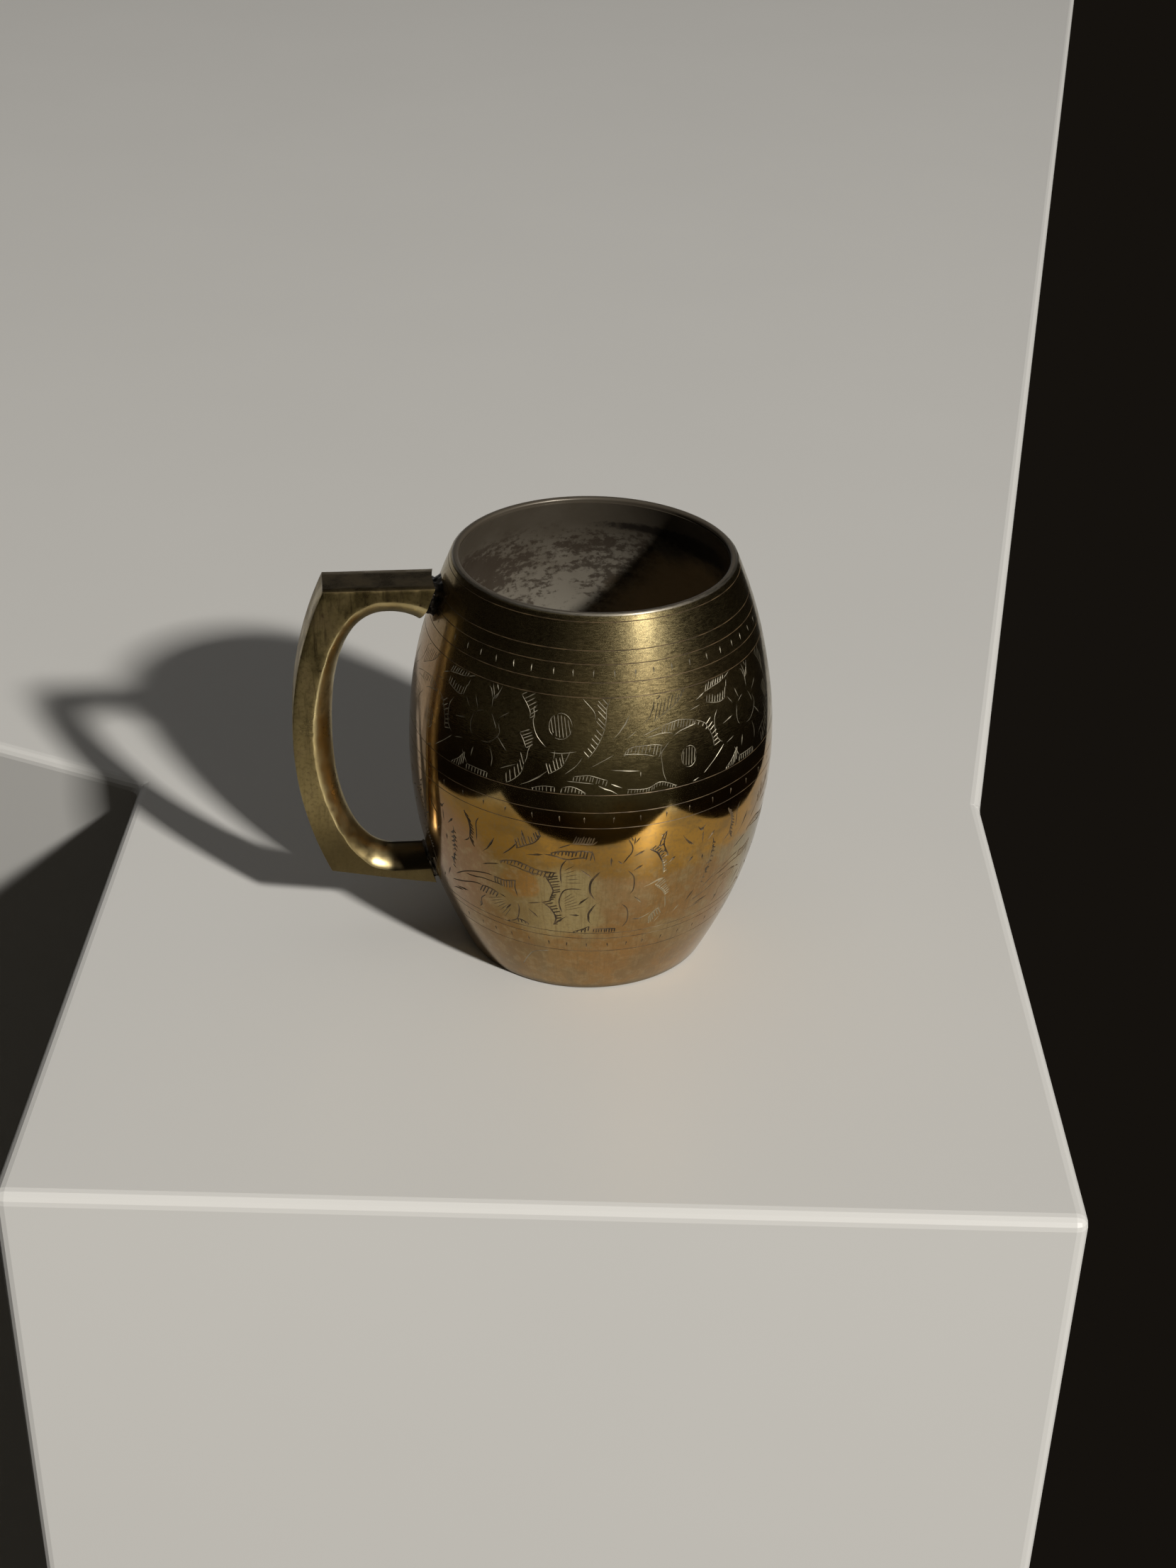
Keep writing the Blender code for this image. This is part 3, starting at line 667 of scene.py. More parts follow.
def band_strokes(band, widths, combs, lines, ticks, dashes=(), hearts=(), fans=()):
    """All the cuts of one repeat of a band."""
    lines, hatches, hairs = list(lines), [], []
    for place in combs:
        spine, teeth = comb(*place)
        lines.append(spine)
        hatches += teeth
    for place in dashes:
        hatches += comb(*place)[1]
    for place in hearts:
        rings, across = heart(*place)
        lines += rings
        hatches += across
    for place in fans:
        hairs += fan(*place)
    strokes = []
    for group, width, fade in zip((lines, hatches, ticks, hairs), widths, CUT_FADES):
        for line in group:
            strokes += [cut(part, width, group is ticks, fade) for part in kept_in(band, dense(line))]
    return strokes


def repeated(strokes, spacing):
    """A band's cuts at the front, beside it on both sides, and at the back."""
    places = (0.0, spacing, SHEET_LENGTH / 2, -spacing)
    return [(points + (place, 0), halves) for place in places for points, halves in strokes]


def punched_dashes():
    """The rows of punched dashes round the barrel."""
    strokes = []
    for height, count in PUNCH_ROWS:
        for index in range(count):
            x = SHEET_LENGTH * index / count + CHANCE.uniform(-PUNCH_STRAY, PUNCH_STRAY)
            lean = CHANCE.uniform(-PUNCH_LEAN, PUNCH_LEAN)
            ends = ((x - lean, height - PUNCH_LENGTH / 2), (x + lean, height + PUNCH_LENGTH / 2))
            strokes.append(cut(dense(ends), PUNCH_CUT, True))
    return strokes


def pattern_strokes():
    """Every cut on the sheet, and again past its other end where one lies over the seam."""
    upper = band_strokes(UPPER_BAND, UPPER_CUTS, UPPER_COMBS, UPPER_LINES, UPPER_TICKS, hearts=UPPER_HEARTS)
    lower = band_strokes(
        LOWER_BAND, LOWER_CUTS, LOWER_COMBS, LOWER_LINES, LOWER_TICKS, dashes=LOWER_DASHES, fans=LOWER_FANS
    )
    strokes = repeated(upper, UPPER_SPACING) + repeated(lower, LOWER_SPACING)
    strokes.append(cut(dense(SCRATCH), SCRATCH_CUT))
    strokes += punched_dashes()
    placed = []
    for points, halves in strokes:
        turns = math.floor((points[:, 0].mean() - SHEET_SEAM) / SHEET_LENGTH)
        points = points - (turns * SHEET_LENGTH, 0)
        placed.append((points, halves))
        if points[:, 0].min() < SHEET_SEAM + SEAM_OVERLAP:
            placed.append((points + (SHEET_LENGTH, 0), halves))
        if points[:, 0].max() > SHEET_SEAM + SHEET_LENGTH - SEAM_OVERLAP:
            placed.append((points - (SHEET_LENGTH, 0), halves))
    return placed


def stroke_tree(strokes):
    """A search tree of close points along all the cuts, and the half width at each."""
    places, halves = [], []
    for points, widths in strokes:
        gone = lengths(points)
        marks = np.union1d(gone, np.arange(0, gone[-1], SEARCH_STEP))
        places.append(at_lengths(points, marks))
        halves.append(np.interp(marks, gone, widths))
    places, halves = np.vstack(places), np.concatenate(halves)
    tree = kdtree.KDTree(len(places))
    for index, (x, y) in enumerate(places):
        tree.insert((x, y, 0), index)
    tree.balance()
    return tree, halves


def cut_depth(tree, halves, x, y):
    """How far a place lies inside the deepest cut near it, or less than nothing outside all cuts."""
    deepest = -math.inf
    for _, index, distance in tree.find_range((x, y, 0), WIDEST_CUT / 2 + GRID_CLEARANCE):
        deepest = max(deepest, halves[index] - distance)
    return deepest


def sheet_rows():
    """Heights of the sheet's grid, and those of them that stay whole: both ends and the turned lines."""
    fixed = [height + side * RING_CUT / 2 for height in RING_HEIGHTS for side in (-1, 0, 1)]
    steps = round((SHEET_HIGH - SHEET_LOW) / SHEET_ROW_STEP)
    plain = np.linspace(SHEET_LOW, SHEET_HIGH, steps + 1)[1:-1]
    plain = [row for row in plain if min(abs(row - height) for height in fixed) > ROW_CLEARANCE]
    fixed += [SHEET_LOW, SHEET_HIGH]
    return sorted(plain + fixed), set(fixed)


def cut_sheet():
    """The unrolled outside, triangulated round every cut: points, triangles and depths."""
    strokes = pattern_strokes()
    tree, halves = stroke_tree(strokes)
    rows, fixed = sheet_rows()
    columns = np.linspace(SHEET_SEAM, SHEET_SEAM + SHEET_LENGTH, SHEET_COLUMNS + 1)
    points, edges = [], []

    def add_chain(chain):
        first = len(points)
        points.extend(chain)
        edges.extend((first + i, first + i + 1) for i in range(len(chain) - 1))

    for row in rows:
        if row in fixed:
            add_chain([(x, row) for x in columns])
            continue
        free = [x for x in columns[1:-1] if cut_depth(tree, halves, x, row) < -GRID_CLEARANCE]
        points.extend((x, row) for x in free)
    for x in (columns[0], columns[-1]):
        add_chain([(x, row) for row in rows])
    for path, widths in strokes:
        way = np.gradient(path, axis=0)
        way /= np.linalg.norm(way, axis=1, keepdims=True)
        side = np.stack((-way[:, 1], way[:, 0]), axis=-1) * widths[:, None]
        for line in (path, path + side, path - side):
            add_chain(line.tolist())
    places = [Vector(point) for point in points]
    flat, _, triangles = delaunay_2d_cdt(places, edges, [], 0, SAME_PLACE, False)[:3]
    flat = np.array(flat)
    triangles = np.array([t for t in triangles if len(t) == 3])
    middle = flat[triangles][:, :, 0].mean(axis=1)
    triangles = triangles[(middle > columns[0]) & (middle < columns[-1])]
    depths = np.array([max(0.0, cut_depth(tree, halves, x, y)) for x, y in flat])
    for height in RING_HEIGHTS:
        inward = RING_CUT / 2 - np.abs(flat[:, 1] - height)
        depths = np.maximum(depths, RING_SLOPE / GROOVE_SLOPE * inward)
    used = np.unique(triangles)
    renumber = np.full(len(flat), -1)
    renumber[used] = np.arange(len(used))
    return flat[used], renumber[triangles], depths[used] * GROOVE_SLOPE


def lip_and_inside():
    """Radius and height of rings from the outside's top over the lip, down inside and under the foot."""
    centre = HEIGHT - LIP_ROUND
    outer = RIM_RADIUS - LIP_ROUND
    inner = barrel_radius(HEIGHT, WALL) + LIP_ROUND
    angles = [math.pi / 2 * step / LIP_STEPS for step in range(LIP_STEPS + 1)]
    rings = [(outer + LIP_ROUND * math.cos(a), centre + LIP_ROUND * math.sin(a)) for a in angles[1:]]
    rings += [(inner - LIP_ROUND * math.sin(a), centre + LIP_ROUND * math.cos(a)) for a in angles]
    rings += [(barrel_radius(z, WALL), z) for z in np.linspace(centre, 0, WALL_ROWS + 1)[1:]]
    rings.append((FOOT_RADIUS - FOOT_CHAMFER, 0.0))
    return rings


def add_barrel(materials):
    """The engraved barrel, with materials for its wall, bright cuts, dirty cuts and tinned inside."""
    flat, triangles, depths = cut_sheet()
    turn = flat[:, 0] / BELLY_MM
    height = flat[:, 1] * MM
    points = outside(turn, height, depths * MM)
    normals = outside_normal(turn, height)

    # The last column is the first one again.
    first = np.flatnonzero(flat[:, 0] < SHEET_SEAM + SAME_PLACE)
    last = np.flatnonzero(flat[:, 0] > SHEET_SEAM + SHEET_LENGTH - SAME_PLACE)
    same = np.arange(len(flat))
    same[last] = first[np.abs(flat[last, 1][:, None] - flat[first, 1][None, :]).argmin(axis=1)]
    triangles = same[triangles]
    keep = np.setdiff1d(np.arange(len(flat)), last)

    def edge_row(level):
        return sorted((i for i in keep if abs(flat[i, 1] - level) < SAME_PLACE), key=lambda i: flat[i, 0])

    # The lip, the inside and the foot's underside, from the top edge round to the bottom edge.
    rows = [edge_row(SHEET_HIGH)]
    columns = len(rows[0])
    vertices = points.tolist()
    for radius, level in lip_and_inside():
        rows.append(list(range(len(vertices), len(vertices) + columns)))
        vertices += ring(radius, level, turn[rows[0]])
    quads = bridge(rows + [edge_row(SHEET_LOW)])
    mesh = bpy.data.meshes.new("engraved_barrel")
    mesh.from_pydata(vertices, [], triangles.tolist() + quads)

    cut_faces = (depths[triangles] > LEAST_DEPTH).any(axis=1)
    middles = flat[triangles][:, :, 1].mean(axis=1)
    ring_faces = np.abs(middles[:, None] - np.array(RING_HEIGHTS)).min(axis=1) < RING_CUT / 2
    dirty = ring_faces | ((middles > DIRTY_BAND[0]) & (middles < DIRTY_BAND[1]))
    slots = np.zeros(len(mesh.polygons), np.int32)
    slots[: len(triangles)] = np.where(cut_faces, np.where(dirty, 2, 1), 0)
    slots[len(triangles) + LIP_STEPS * columns:-2 * columns] = 3
    mesh.polygons.foreach_set("material_index", slots)

    # Flat cut faces; the rest of the outside is shaded as if uncut.
    smooth(mesh)
    corners = normals[triangles]
    sides = points[triangles]
    facet = np.cross(sides[:, 1] - sides[:, 0], sides[:, 2] - sides[:, 0])
    facet /= np.maximum(np.linalg.norm(facet, axis=1, keepdims=True), 1e-20)
    corners[cut_faces] = facet[cut_faces][:, None, :]
    loops = corners.reshape(-1, 3).tolist() + [(0.0, 0.0, 0.0)] * (4 * len(quads))
    mesh.normals_split_custom_set(loops)
    add_piece("engraved_barrel", mesh, materials, "barrel_shell")


def lower_edge(reach):
    """Height of the lower arm's underside, which falls towards the barrel."""
    return HANDLE_TOP - HANDLE_SPAN - (HANDLE_BACK - LOWER_SETBACK - reach) * LOWER_ARM_FALL


def opening_bottom():
    """Height of the finger opening's edge along the lower arm."""
    return lower_edge(OPENING_CENTRE) + LOWER_ARM_DEPTH


def upper_arm_edge(reach):
    """Height of the upper arm's finger side, which comes down towards the barrel."""
    run = OPENING_CENTRE - barrel_radius(OPENING_TOP, -UPPER_GAP)
    return OPENING_TOP - UPPER_ARM_FLARE * ((OPENING_CENTRE - reach) / run) ** 2


def finger_distance(angle):
    """Distance from the opening's centre to the finger side, at an angle up from straight out."""
    half_height = (OPENING_TOP - opening_bottom()) / 2
    roundness = UPPER_ROUNDNESS if angle > 0 else LOWER_ROUNDNESS
    out = abs(math.cos(angle)) / OPENING_HALF_WIDTH
    up = abs(math.sin(angle)) / half_height
    return (out**roundness + up**roundness) ** (-1 / roundness)


def back_bow():
    """Centre and radius of the arc that the handle's back follows."""
    half = HANDLE_SPAN / 2
    middle = HANDLE_TOP - half
    a = np.array(((-2 * UPPER_SETBACK, 2 * half), (-2 * LOWER_SETBACK, -2 * half)))
    b = np.array((UPPER_SETBACK**2 + half**2, LOWER_SETBACK**2 + half**2))
    out, up = np.linalg.solve(a, b)
    return (HANDLE_BACK + out, middle + up), math.hypot(out, up)


def back_distance(origin, angle):
    """Distance from a point to the handle's outer outline at an angle."""
    way = (math.cos(angle), math.sin(angle))
    (x, z), radius = back_bow()
    along = (x - origin[0]) * way[0] + (z - origin[1]) * way[1]
    off = (x - origin[0]) * way[1] - (z - origin[1]) * way[0]
    hits = [along + math.sqrt(radius**2 - off**2)]
    if way[1] > LEAST_SLANT:
        hits.append((HANDLE_TOP - origin[1]) / way[1])
    if way[1] < -LEAST_SLANT:
        slant = way[1] - LOWER_ARM_FALL * way[0]
        hits.append((lower_edge(origin[0]) - origin[1]) / slant)
    return min(hit for hit in hits if hit > 0)


def handle_section(outer, inner, rounding, share=None, gap=0.0):
    """One section: points (distance, across, height), back face first, then round the finger side.

    A share sets it between the arm's end on the barrel, at a gap, and the middle of the opening.
    """
    outer, inner = np.array(outer), np.array(inner)
    depth = np.linalg.norm(inner - outer)
    way = (inner - outer) / depth
    half = HANDLE_HALF
    bend = EDGE_ROUND * EDGE_BEND
    flank = np.linspace(EDGE_ROUND, depth - rounding, FLANK_STEPS + 1)
    outline = [(0.0, y) for y in np.linspace(-(half - EDGE_ROUND), half - EDGE_ROUND, BACK_STEPS + 1)]
    outline.append((bend, half - bend))
    outline += [(a, half) for a in flank]
    for step in range(1, 2 * ROUND_STEPS):
        angle = math.pi * step / (2 * ROUND_STEPS)
        out = abs(math.cos(angle)) ** (2 / ROUND_POWER)
        down = math.sin(angle) ** (2 / ROUND_POWER)
        outline.append((depth - rounding + rounding * down, math.copysign(half * out, math.cos(angle))))
    outline += [(a, -half) for a in flank[::-1]]
    outline.append((bend, -(half - bend)))
    points = []
    for a, y in outline:
        reach, height = outer + way * a
        if share is not None:
            end = math.sqrt(barrel_radius(height, -gap) ** 2 - y * y)
            reach = end + (OPENING_CENTRE - end) * share
        points.append((-reach, y, height))
    return points


def grip_angles(middle):
    """Angles of the grip's sections round the opening's centre, close together at the back's corners."""
    lower_corner = (HANDLE_BACK - LOWER_SETBACK, HANDLE_TOP - HANDLE_SPAN)
    upper_corner = (HANDLE_BACK - UPPER_SETBACK, HANDLE_TOP)
    corners = [math.atan2(z - middle, x - OPENING_CENTRE) for x, z in (lower_corner, upper_corner)]
    even = np.linspace(-math.pi / 2, math.pi / 2, GRIP_STATIONS + 1)
    spread = np.arctan2(np.sin(even) * GRIP_SPREAD, np.cos(even))
    angles = [a for a in spread if min(abs(a - corner) for corner in corners) > CORNER_CLEARANCE]
    for corner in corners:
        angles += [corner - CORNER_STEP, corner, corner + CORNER_STEP]
    return sorted(angles)


def handle_sections():
    """Sections from the lower arm's end round the grip to the upper arm's end."""
    middle = (OPENING_TOP + opening_bottom()) / 2
    centre = (OPENING_CENTRE, middle)
    shares = [step / ARM_STATIONS for step in range(ARM_STATIONS)]
    sections = []
    for share in shares:
        reach = barrel_radius(lower_edge(OPENING_CENTRE), -LOWER_GAP)
        reach += (OPENING_CENTRE - reach) * share
        inner = (reach, opening_bottom())
        sections.append(handle_section((reach, lower_edge(reach)), inner, GRIP_ROUND, share, LOWER_GAP))
    for angle in grip_angles(middle):
        way = np.array((math.cos(angle), math.sin(angle)))
        rounding = GRIP_ROUND + (ARM_ROUND - GRIP_ROUND) * max(0.0, math.sin(angle)) ** ARM_ROUND_POWER
        rounding += CREASE_WANDER * noise.noise((angle * CREASE_WAVES, 0, 0))
        inner = centre + way * finger_distance(angle)
        outer = centre + way * back_distance(centre, angle)
        sections.append(handle_section(outer, inner, rounding))
    for share in reversed(shares):
        reach = barrel_radius(HANDLE_TOP - UPPER_ARM_DEPTH / 2, -UPPER_GAP)
        reach += (OPENING_CENTRE - reach) * share
        inner = (reach, upper_arm_edge(reach))
        sections.append(handle_section((reach, HANDLE_TOP), inner, ARM_ROUND, share, UPPER_GAP))
    return sections


def add_handle(materials):
    """The cast handle, a little uneven, with materials for its filed faces and its finger side."""
    sections = handle_sections()
    count = len(sections[0])
    mesh = tube("filed_handle", sections)
    first = BACK_STEPS + FLANK_STEPS + 2
    finger_side = range(first, first + 2 * ROUND_STEPS)
    sides = count * (len(sections) - 1)
    slots = [int(index % count in finger_side) for index in range(sides)] + [0, 0]
    mesh.polygons.foreach_set("material_index", slots)
    solid = bmesh.new()
    solid.from_mesh(mesh)
    write_outward(solid, mesh)
    for vertex in mesh.vertices:
        lift = noise.noise(vertex.co * CAST_LUMP_SCALE) * CAST_LUMP
        vertex.co.y += math.copysign(1, vertex.co.y) * (lift - CAST_LUMP / 2)
    smooth(mesh, HANDLE_SHARP)
    add_piece("filed_handle", mesh, materials, "handle")


def add_solder(name, node, slot, material, gap, low, high):
    """A lumpy solder pad under an arm's end, run out a little on the barrel."""
    pad = bmesh.new()
    bmesh.ops.create_cube(pad, size=2.0)
    bmesh.ops.subdivide_edges(pad, edges=pad.edges[:], cuts=SOLDER_CUTS, use_grid_fill=True)
    half_width = HANDLE_HALF - SOLDER_INSET
    half_height = (high - low) / 2
    for vert in pad.verts:
        across, up, out = vert.co.y, vert.co.z, (1 - vert.co.x) / 2
        spread = SOLDER_SPREAD * (1 - out) ** 2 - SOLDER_HOLLOW * math.sin(math.pi * out)
        y = across * (half_width + spread) * math.sqrt(1 - SOLDER_BOW * up * up)
        z = (low + high) / 2 + up * (half_height + spread) * math.sqrt(1 - SOLDER_BOW * across * across)
        place = Vector((y, z, out * SOLDER_GRAIN)) * SOLDER_LUMP_SCALE
        rough = noise.fractal(place, *SOLDER_FRACTAL) * SOLDER_LUMP
        y += rough * across
        z += rough * up
        reach = barrel_radius(z, SOLDER_SUNK - out * (gap + SOLDER_OVERLAP))
        vert.co = (-math.sqrt(max(reach * reach - y * y, 0)), y, z)
    mesh = bpy.data.meshes.new(name)
    write_outward(pad, mesh)
    smooth(mesh)
    add_piece(name, mesh, [material], node)


def add_lining(material):
    """The tin coat: out under its floor, up the outer face, down the inner face and in over the floor."""
    rise = TIN_FLOOR + TIN_CORNER
    outer = [(barrel_radius(z, TIN_DEPTH), z) for z in np.linspace(rise, HEIGHT - TIN_DROP, TIN_ROWS)]
    inner = [(radius - TIN_THICKNESS, z) for radius, z in outer[::-1]]
    corner = []
    for step in range(1, TIN_CORNER_STEPS + 1):
        angle = math.pi / 2 * step / TIN_CORNER_STEPS
        radius = outer[0][0] - TIN_CORNER * (1 - math.cos(angle))
        corner.append((radius, rise - TIN_CORNER * math.sin(angle)))
    floor = [(corner[-1][0] * share, TIN_FLOOR) for share in TIN_FLOOR_SHARES]
    shift = TIN_THICKNESS * TIN_CORNER_SHIFT
    over = [(radius - shift, z + shift) for radius, z in corner]
    over += [(radius, TIN_FLOOR + TIN_THICKNESS) for radius, _ in floor]
    profile = floor[::-1] + corner[::-1] + outer + inner + over
    turns = np.linspace(0, math.tau, TIN_COLUMNS, endpoint=False)
    mesh = tube("tin_coat", [ring(radius, z, turns) for radius, z in profile])
    smooth(mesh, TIN_SHARP)
    add_piece("tin_coat", mesh, [material], "tin_lining")


class Nodes:
    """Short ways to add nodes to a node tree."""

    def __init__(self, tree):
        self.tree = tree

    def node(self, kind, **settings):
        node = self.tree.nodes.new(kind)
        for key, value in settings.items():
            setattr(node, key, value)
        return node

    def put(self, socket, value):
        """Links a socket, or sets its own value."""
        if isinstance(value, bpy.types.NodeSocket):
            self.tree.links.new(value, socket)
        else:
            socket.default_value = value

    def math(self, operation, a, b=0.0):
        node = self.node("ShaderNodeMath", operation=operation)
        self.put(node.inputs[0], a)
        self.put(node.inputs[1], b)
        return node.outputs["Value"]

    def times(self, a, b):
        return self.math("MULTIPLY", a, b)

    def plus(self, a, b):
        return self.math("ADD", a, b)

    def span(self, value, low, high, to_low=0.0, to_high=1.0):
        """A value's share between two limits, smoothed, from one number to another."""
        node = self.node("ShaderNodeMapRange", interpolation_type="SMOOTHSTEP")
        self.put(node.inputs["Value"], value)
        limits = {"From Min": low, "From Max": high, "To Min": to_low, "To Max": to_high}
        for name, number in limits.items():
            node.inputs[name].default_value = number
        return node.outputs["Result"]

    def mix(self, share, a, b):
        """Colour a where the share is nothing, b where it is one."""
        node = self.node("ShaderNodeMix", data_type="RGBA")
        self.put(node.inputs["Factor"], share)
        colours = [socket for socket in node.inputs if socket.type == "RGBA"]
        for socket, value in zip(colours, (a, b)):
            self.put(socket, value if isinstance(value, bpy.types.NodeSocket) else (*value, 1.0))
        return [socket for socket in node.outputs if socket.type == "RGBA"][0]

    def blend(self, value, low, high, first, second):
        """A first tone up to the low limit of a value, a second one from the high limit."""
        return self.mix(self.span(value, low, high), first, second)

    def towards(self, place, way):
        """How far a direction points one way."""
        node = self.node("ShaderNodeVectorMath", operation="DOT_PRODUCT")
        self.put(node.inputs[0], place)
        node.inputs[1].default_value = way
        return node.outputs["Value"]


class Shader(Nodes):
    """A node material with a Principled shader, and the object's coordinates to place things by."""

    def __init__(self, name, metallic=1.0, roughness=0.3):
        self.material = bpy.data.materials.new(name)
        self.material.use_nodes = True
        super().__init__(self.material.node_tree)
        self.surface = self.tree.nodes["Principled BSDF"]
        self.surface.inputs["Metallic"].default_value = metallic
        self.surface.inputs["Roughness"].default_value = roughness
        self.place = self.node("ShaderNodeTexCoord").outputs["Object"]
        axes = self.node("ShaderNodeSeparateXYZ")
        self.put(axes.inputs["Vector"], self.place)
        self.x, self.y, self.z = (axes.outputs[axis] for axis in "XYZ")

    def noise(self, scale, detail=4.0, place=None, roughness=0.55):
        node = self.node("ShaderNodeTexNoise")
        self.put(node.inputs["Vector"], place or self.place)
        node.inputs["Scale"].default_value = scale
        node.inputs["Detail"].default_value = detail
        node.inputs["Roughness"].default_value = roughness
        return node.outputs["Fac"]

    def stretch(self, scale):
        """The object's coordinates, scaled by axis."""
        node = self.node("ShaderNodeMapping")
        self.put(node.inputs["Vector"], self.place)
        node.inputs["Scale"].default_value = scale
        return node.outputs["Vector"]

    def round_and_up(self, around, up):
        """Coordinates on a cylinder of one size, so that noise runs round the axis and up it, scaled."""
        reach = self.math("SQRT", self.plus(self.times(self.x, self.x), self.times(self.y, self.y)))
        joined = self.node("ShaderNodeCombineXYZ")
        self.put(joined.inputs["X"], self.times(self.math("DIVIDE", self.x, reach), around))
        self.put(joined.inputs["Y"], self.times(self.math("DIVIDE", self.y, reach), around))
        self.put(joined.inputs["Z"], self.times(self.z, up))
        return joined.outputs["Vector"]

    def patch(self, place, rough, fray, soft):
        """One in an oval place on the wall and nothing outside it, with an edge that a noise frays."""
        turn, height, half_turn, half_height = place
        angle = self.math("ARCTAN2", self.x, self.times(self.y, -1.0))
        across = self.math("SUBTRACT", angle, math.radians(turn))
        across = self.math("DIVIDE", across, math.radians(half_turn))
        up = self.math("DIVIDE", self.math("SUBTRACT", self.z, height), half_height)
        away = self.plus(self.times(across, across), self.times(up, up))
        away = self.plus(away, self.times(self.math("SUBTRACT", rough, NOISE_MIDDLE), fray))
        return self.span(away, 1.0 - soft, 1.0 + soft, 1.0, 0.0)

    def coat(self, tone, value, low, high, strength, colour):
        """A tone that takes on a colour between two limits of a value."""
        return self.mix(self.span(value, low, high, 0.0, strength), tone, colour)

    def stain(self, tone, rough, colour, strength, place, fray, soft):
        """A tone with an oval patch of another colour on it, used for stains and for painted light and
        shade.
        """
        return self.mix(self.times(self.patch(place, rough, fray, soft), strength), tone, colour)

    def colour(self, value):
        self.put(self.surface.inputs["Base Color"], value)

    def gloss(self, value):
        self.put(self.surface.inputs["Roughness"], value)

    def brushed(self, amount):
        """Highlights drawn out up and down by turning lines that run round the axis."""
        tangent = self.node("ShaderNodeTangent", direction_type="RADIAL", axis="Z")
        self.put(self.surface.inputs["Tangent"], tangent.outputs["Tangent"])
        self.surface.inputs["Anisotropic"].default_value = amount
        self.surface.inputs["Anisotropic Rotation"].default_value = 0.25

    def bump(self, height, depth, strength=1.0, under=None):
        node = self.node("ShaderNodeBump")
        node.inputs["Strength"].default_value = strength
        node.inputs["Distance"].default_value = depth
        self.put(node.inputs["Height"], height)
        if under:
            self.put(node.inputs["Normal"], under)
        self.put(self.surface.inputs["Normal"], node.outputs["Normal"])
        return node.outputs["Normal"]


def barrel_brass():
    """Old polished brass: olive above, an amber film round the belly, mottled tarnish below, with painted
    reflection and shade on its sides.
    """
    s = Shader("spun_brass_old")
    cloud = s.noise(38.0, 5.0)
    blotch = s.noise(62.0, 6.0, None, 0.6)
    spots = s.noise(160.0, 6.0)
    uneven = s.plus(s.z, s.times(s.math("SUBTRACT", blotch, NOISE_MIDDLE), UNEVEN_LEVEL))

    lower = s.blend(blotch, *TARNISH)
    for stain in PALE_STAINS:
        lower = s.stain(lower, blotch, *stain)
    for stain in (RUST_STAIN, BROWN_STAIN):
        lower = s.stain(lower, spots, *stain)
    lower = s.coat(lower, uneven, *FOOT_COAT, s.blend(spots, *FOOT_TARNISH))
    lower = s.stain(lower, spots, *FOOT_STAIN)
    tone = s.blend(uneven, *LOWER_LEVEL, s.blend(cloud, *OLIVE), lower)
    # Painted reflections on the barrel's two sides.
    for stain in (ROSY_LEFT_REFLECTION, DARK_RIGHT_REFLECTION):
        tone = s.stain(tone, blotch, *stain)
    tone = s.coat(tone, uneven, *RIM_COAT)

    streaks = s.noise(1.0, 5.0, s.round_and_up(5.0, 260.0), 0.6)
    amber = s.coat(s.blend(cloud, *AMBER), streaks, *STREAK_COAT)
    film = s.times(s.span(uneven, *FILM_FOOT), s.span(uneven, *FILM_TOP))
    tone = s.mix(s.times(film, FILM_STRENGTH), tone, amber)
    # Painted shade on the lower left front.
    tone = s.stain(tone, blotch, *LOWER_LEFT_SHADE)
    tone = s.coat(tone, spots, *SPOT_COAT)
    tone = s.stain(tone, blotch, *COPPER_STAIN)

    below = s.span(uneven, *MOTTLE_LEVEL)
    mottle = s.span(s.noise(430.0, 5.0, None, 0.62), 0.47, 0.64, 0.0, 0.28)
    tone = s.mix(s.times(mottle, below), tone, MOTTLE)
    wiped = s.span(s.noise(1.0, 5.0, s.round_and_up(75.0, 120.0), 0.65), 0.46, 0.66, 0.0, 0.36)
    tone = s.mix(s.times(wiped, below), tone, WIPED)
    tone = s.coat(tone, s.noise(1300.0, 4.0), *GRAIN_COAT)
    tone = s.coat(tone, s.z, *GROUND_COAT)
    lip = s.span(s.z, *LIP_LEVEL)
    s.colour(s.mix(lip, tone, LIP_BRASS))

    # Roughness: a fine haze, scuffs towards the rim, dull below the belly and on the lip.
    hairlines = s.noise(1.0, 2.0, s.round_and_up(24.0, 6000.0), 0.6)
    fine = s.span(s.noise(26000.0, 0.0), 0.50, 0.60, 0.0, 0.70)
    grain = s.plus(fine, s.span(hairlines, 0.38, 0.62, 0.0, 0.34))
    scuff = s.times(grain, s.span(uneven, *SCUFF_LEVEL, 0.03, 0.40))
    haze = s.plus(s.span(spots, 0.3, 0.8, 0.0, 0.03), scuff)
    worn = s.plus(s.span(uneven, *DULL_LEVEL, 0.0, 0.12), s.times(lip, 0.25))
    s.gloss(s.plus(s.plus(haze, worn), 0.04))
    s.brushed(0.5)
    lines = s.bump(s.noise(2.0, 3.0, s.round_and_up(1.2, 2600.0), 0.6), 0.00001, 0.15)
    s.bump(s.noise(1.0, 4.0, s.stretch((900.0, 900.0, 500.0)), 0.6), 0.00002, 0.08, lines)
    return s.material


def cut_brass(name, metallic, tones, stains):
    """The faces of the cuts, with other tones in a few places: stains and dust, and on the bright cuts
    painted shade inside the sheen.
    """
    s = Shader(name, metallic)
    patch = s.noise(260.0, 4.0)
    tone = s.blend(patch, *tones)
    for stain in stains:
        tone = s.stain(tone, patch, *stain)
    s.colour(tone)
    s.gloss(s.span(patch, 0.35, 0.7, 0.42, 0.56))
    s.bump(s.noise(3500.0, 2.0), 0.00002, 0.25)
    return s.material


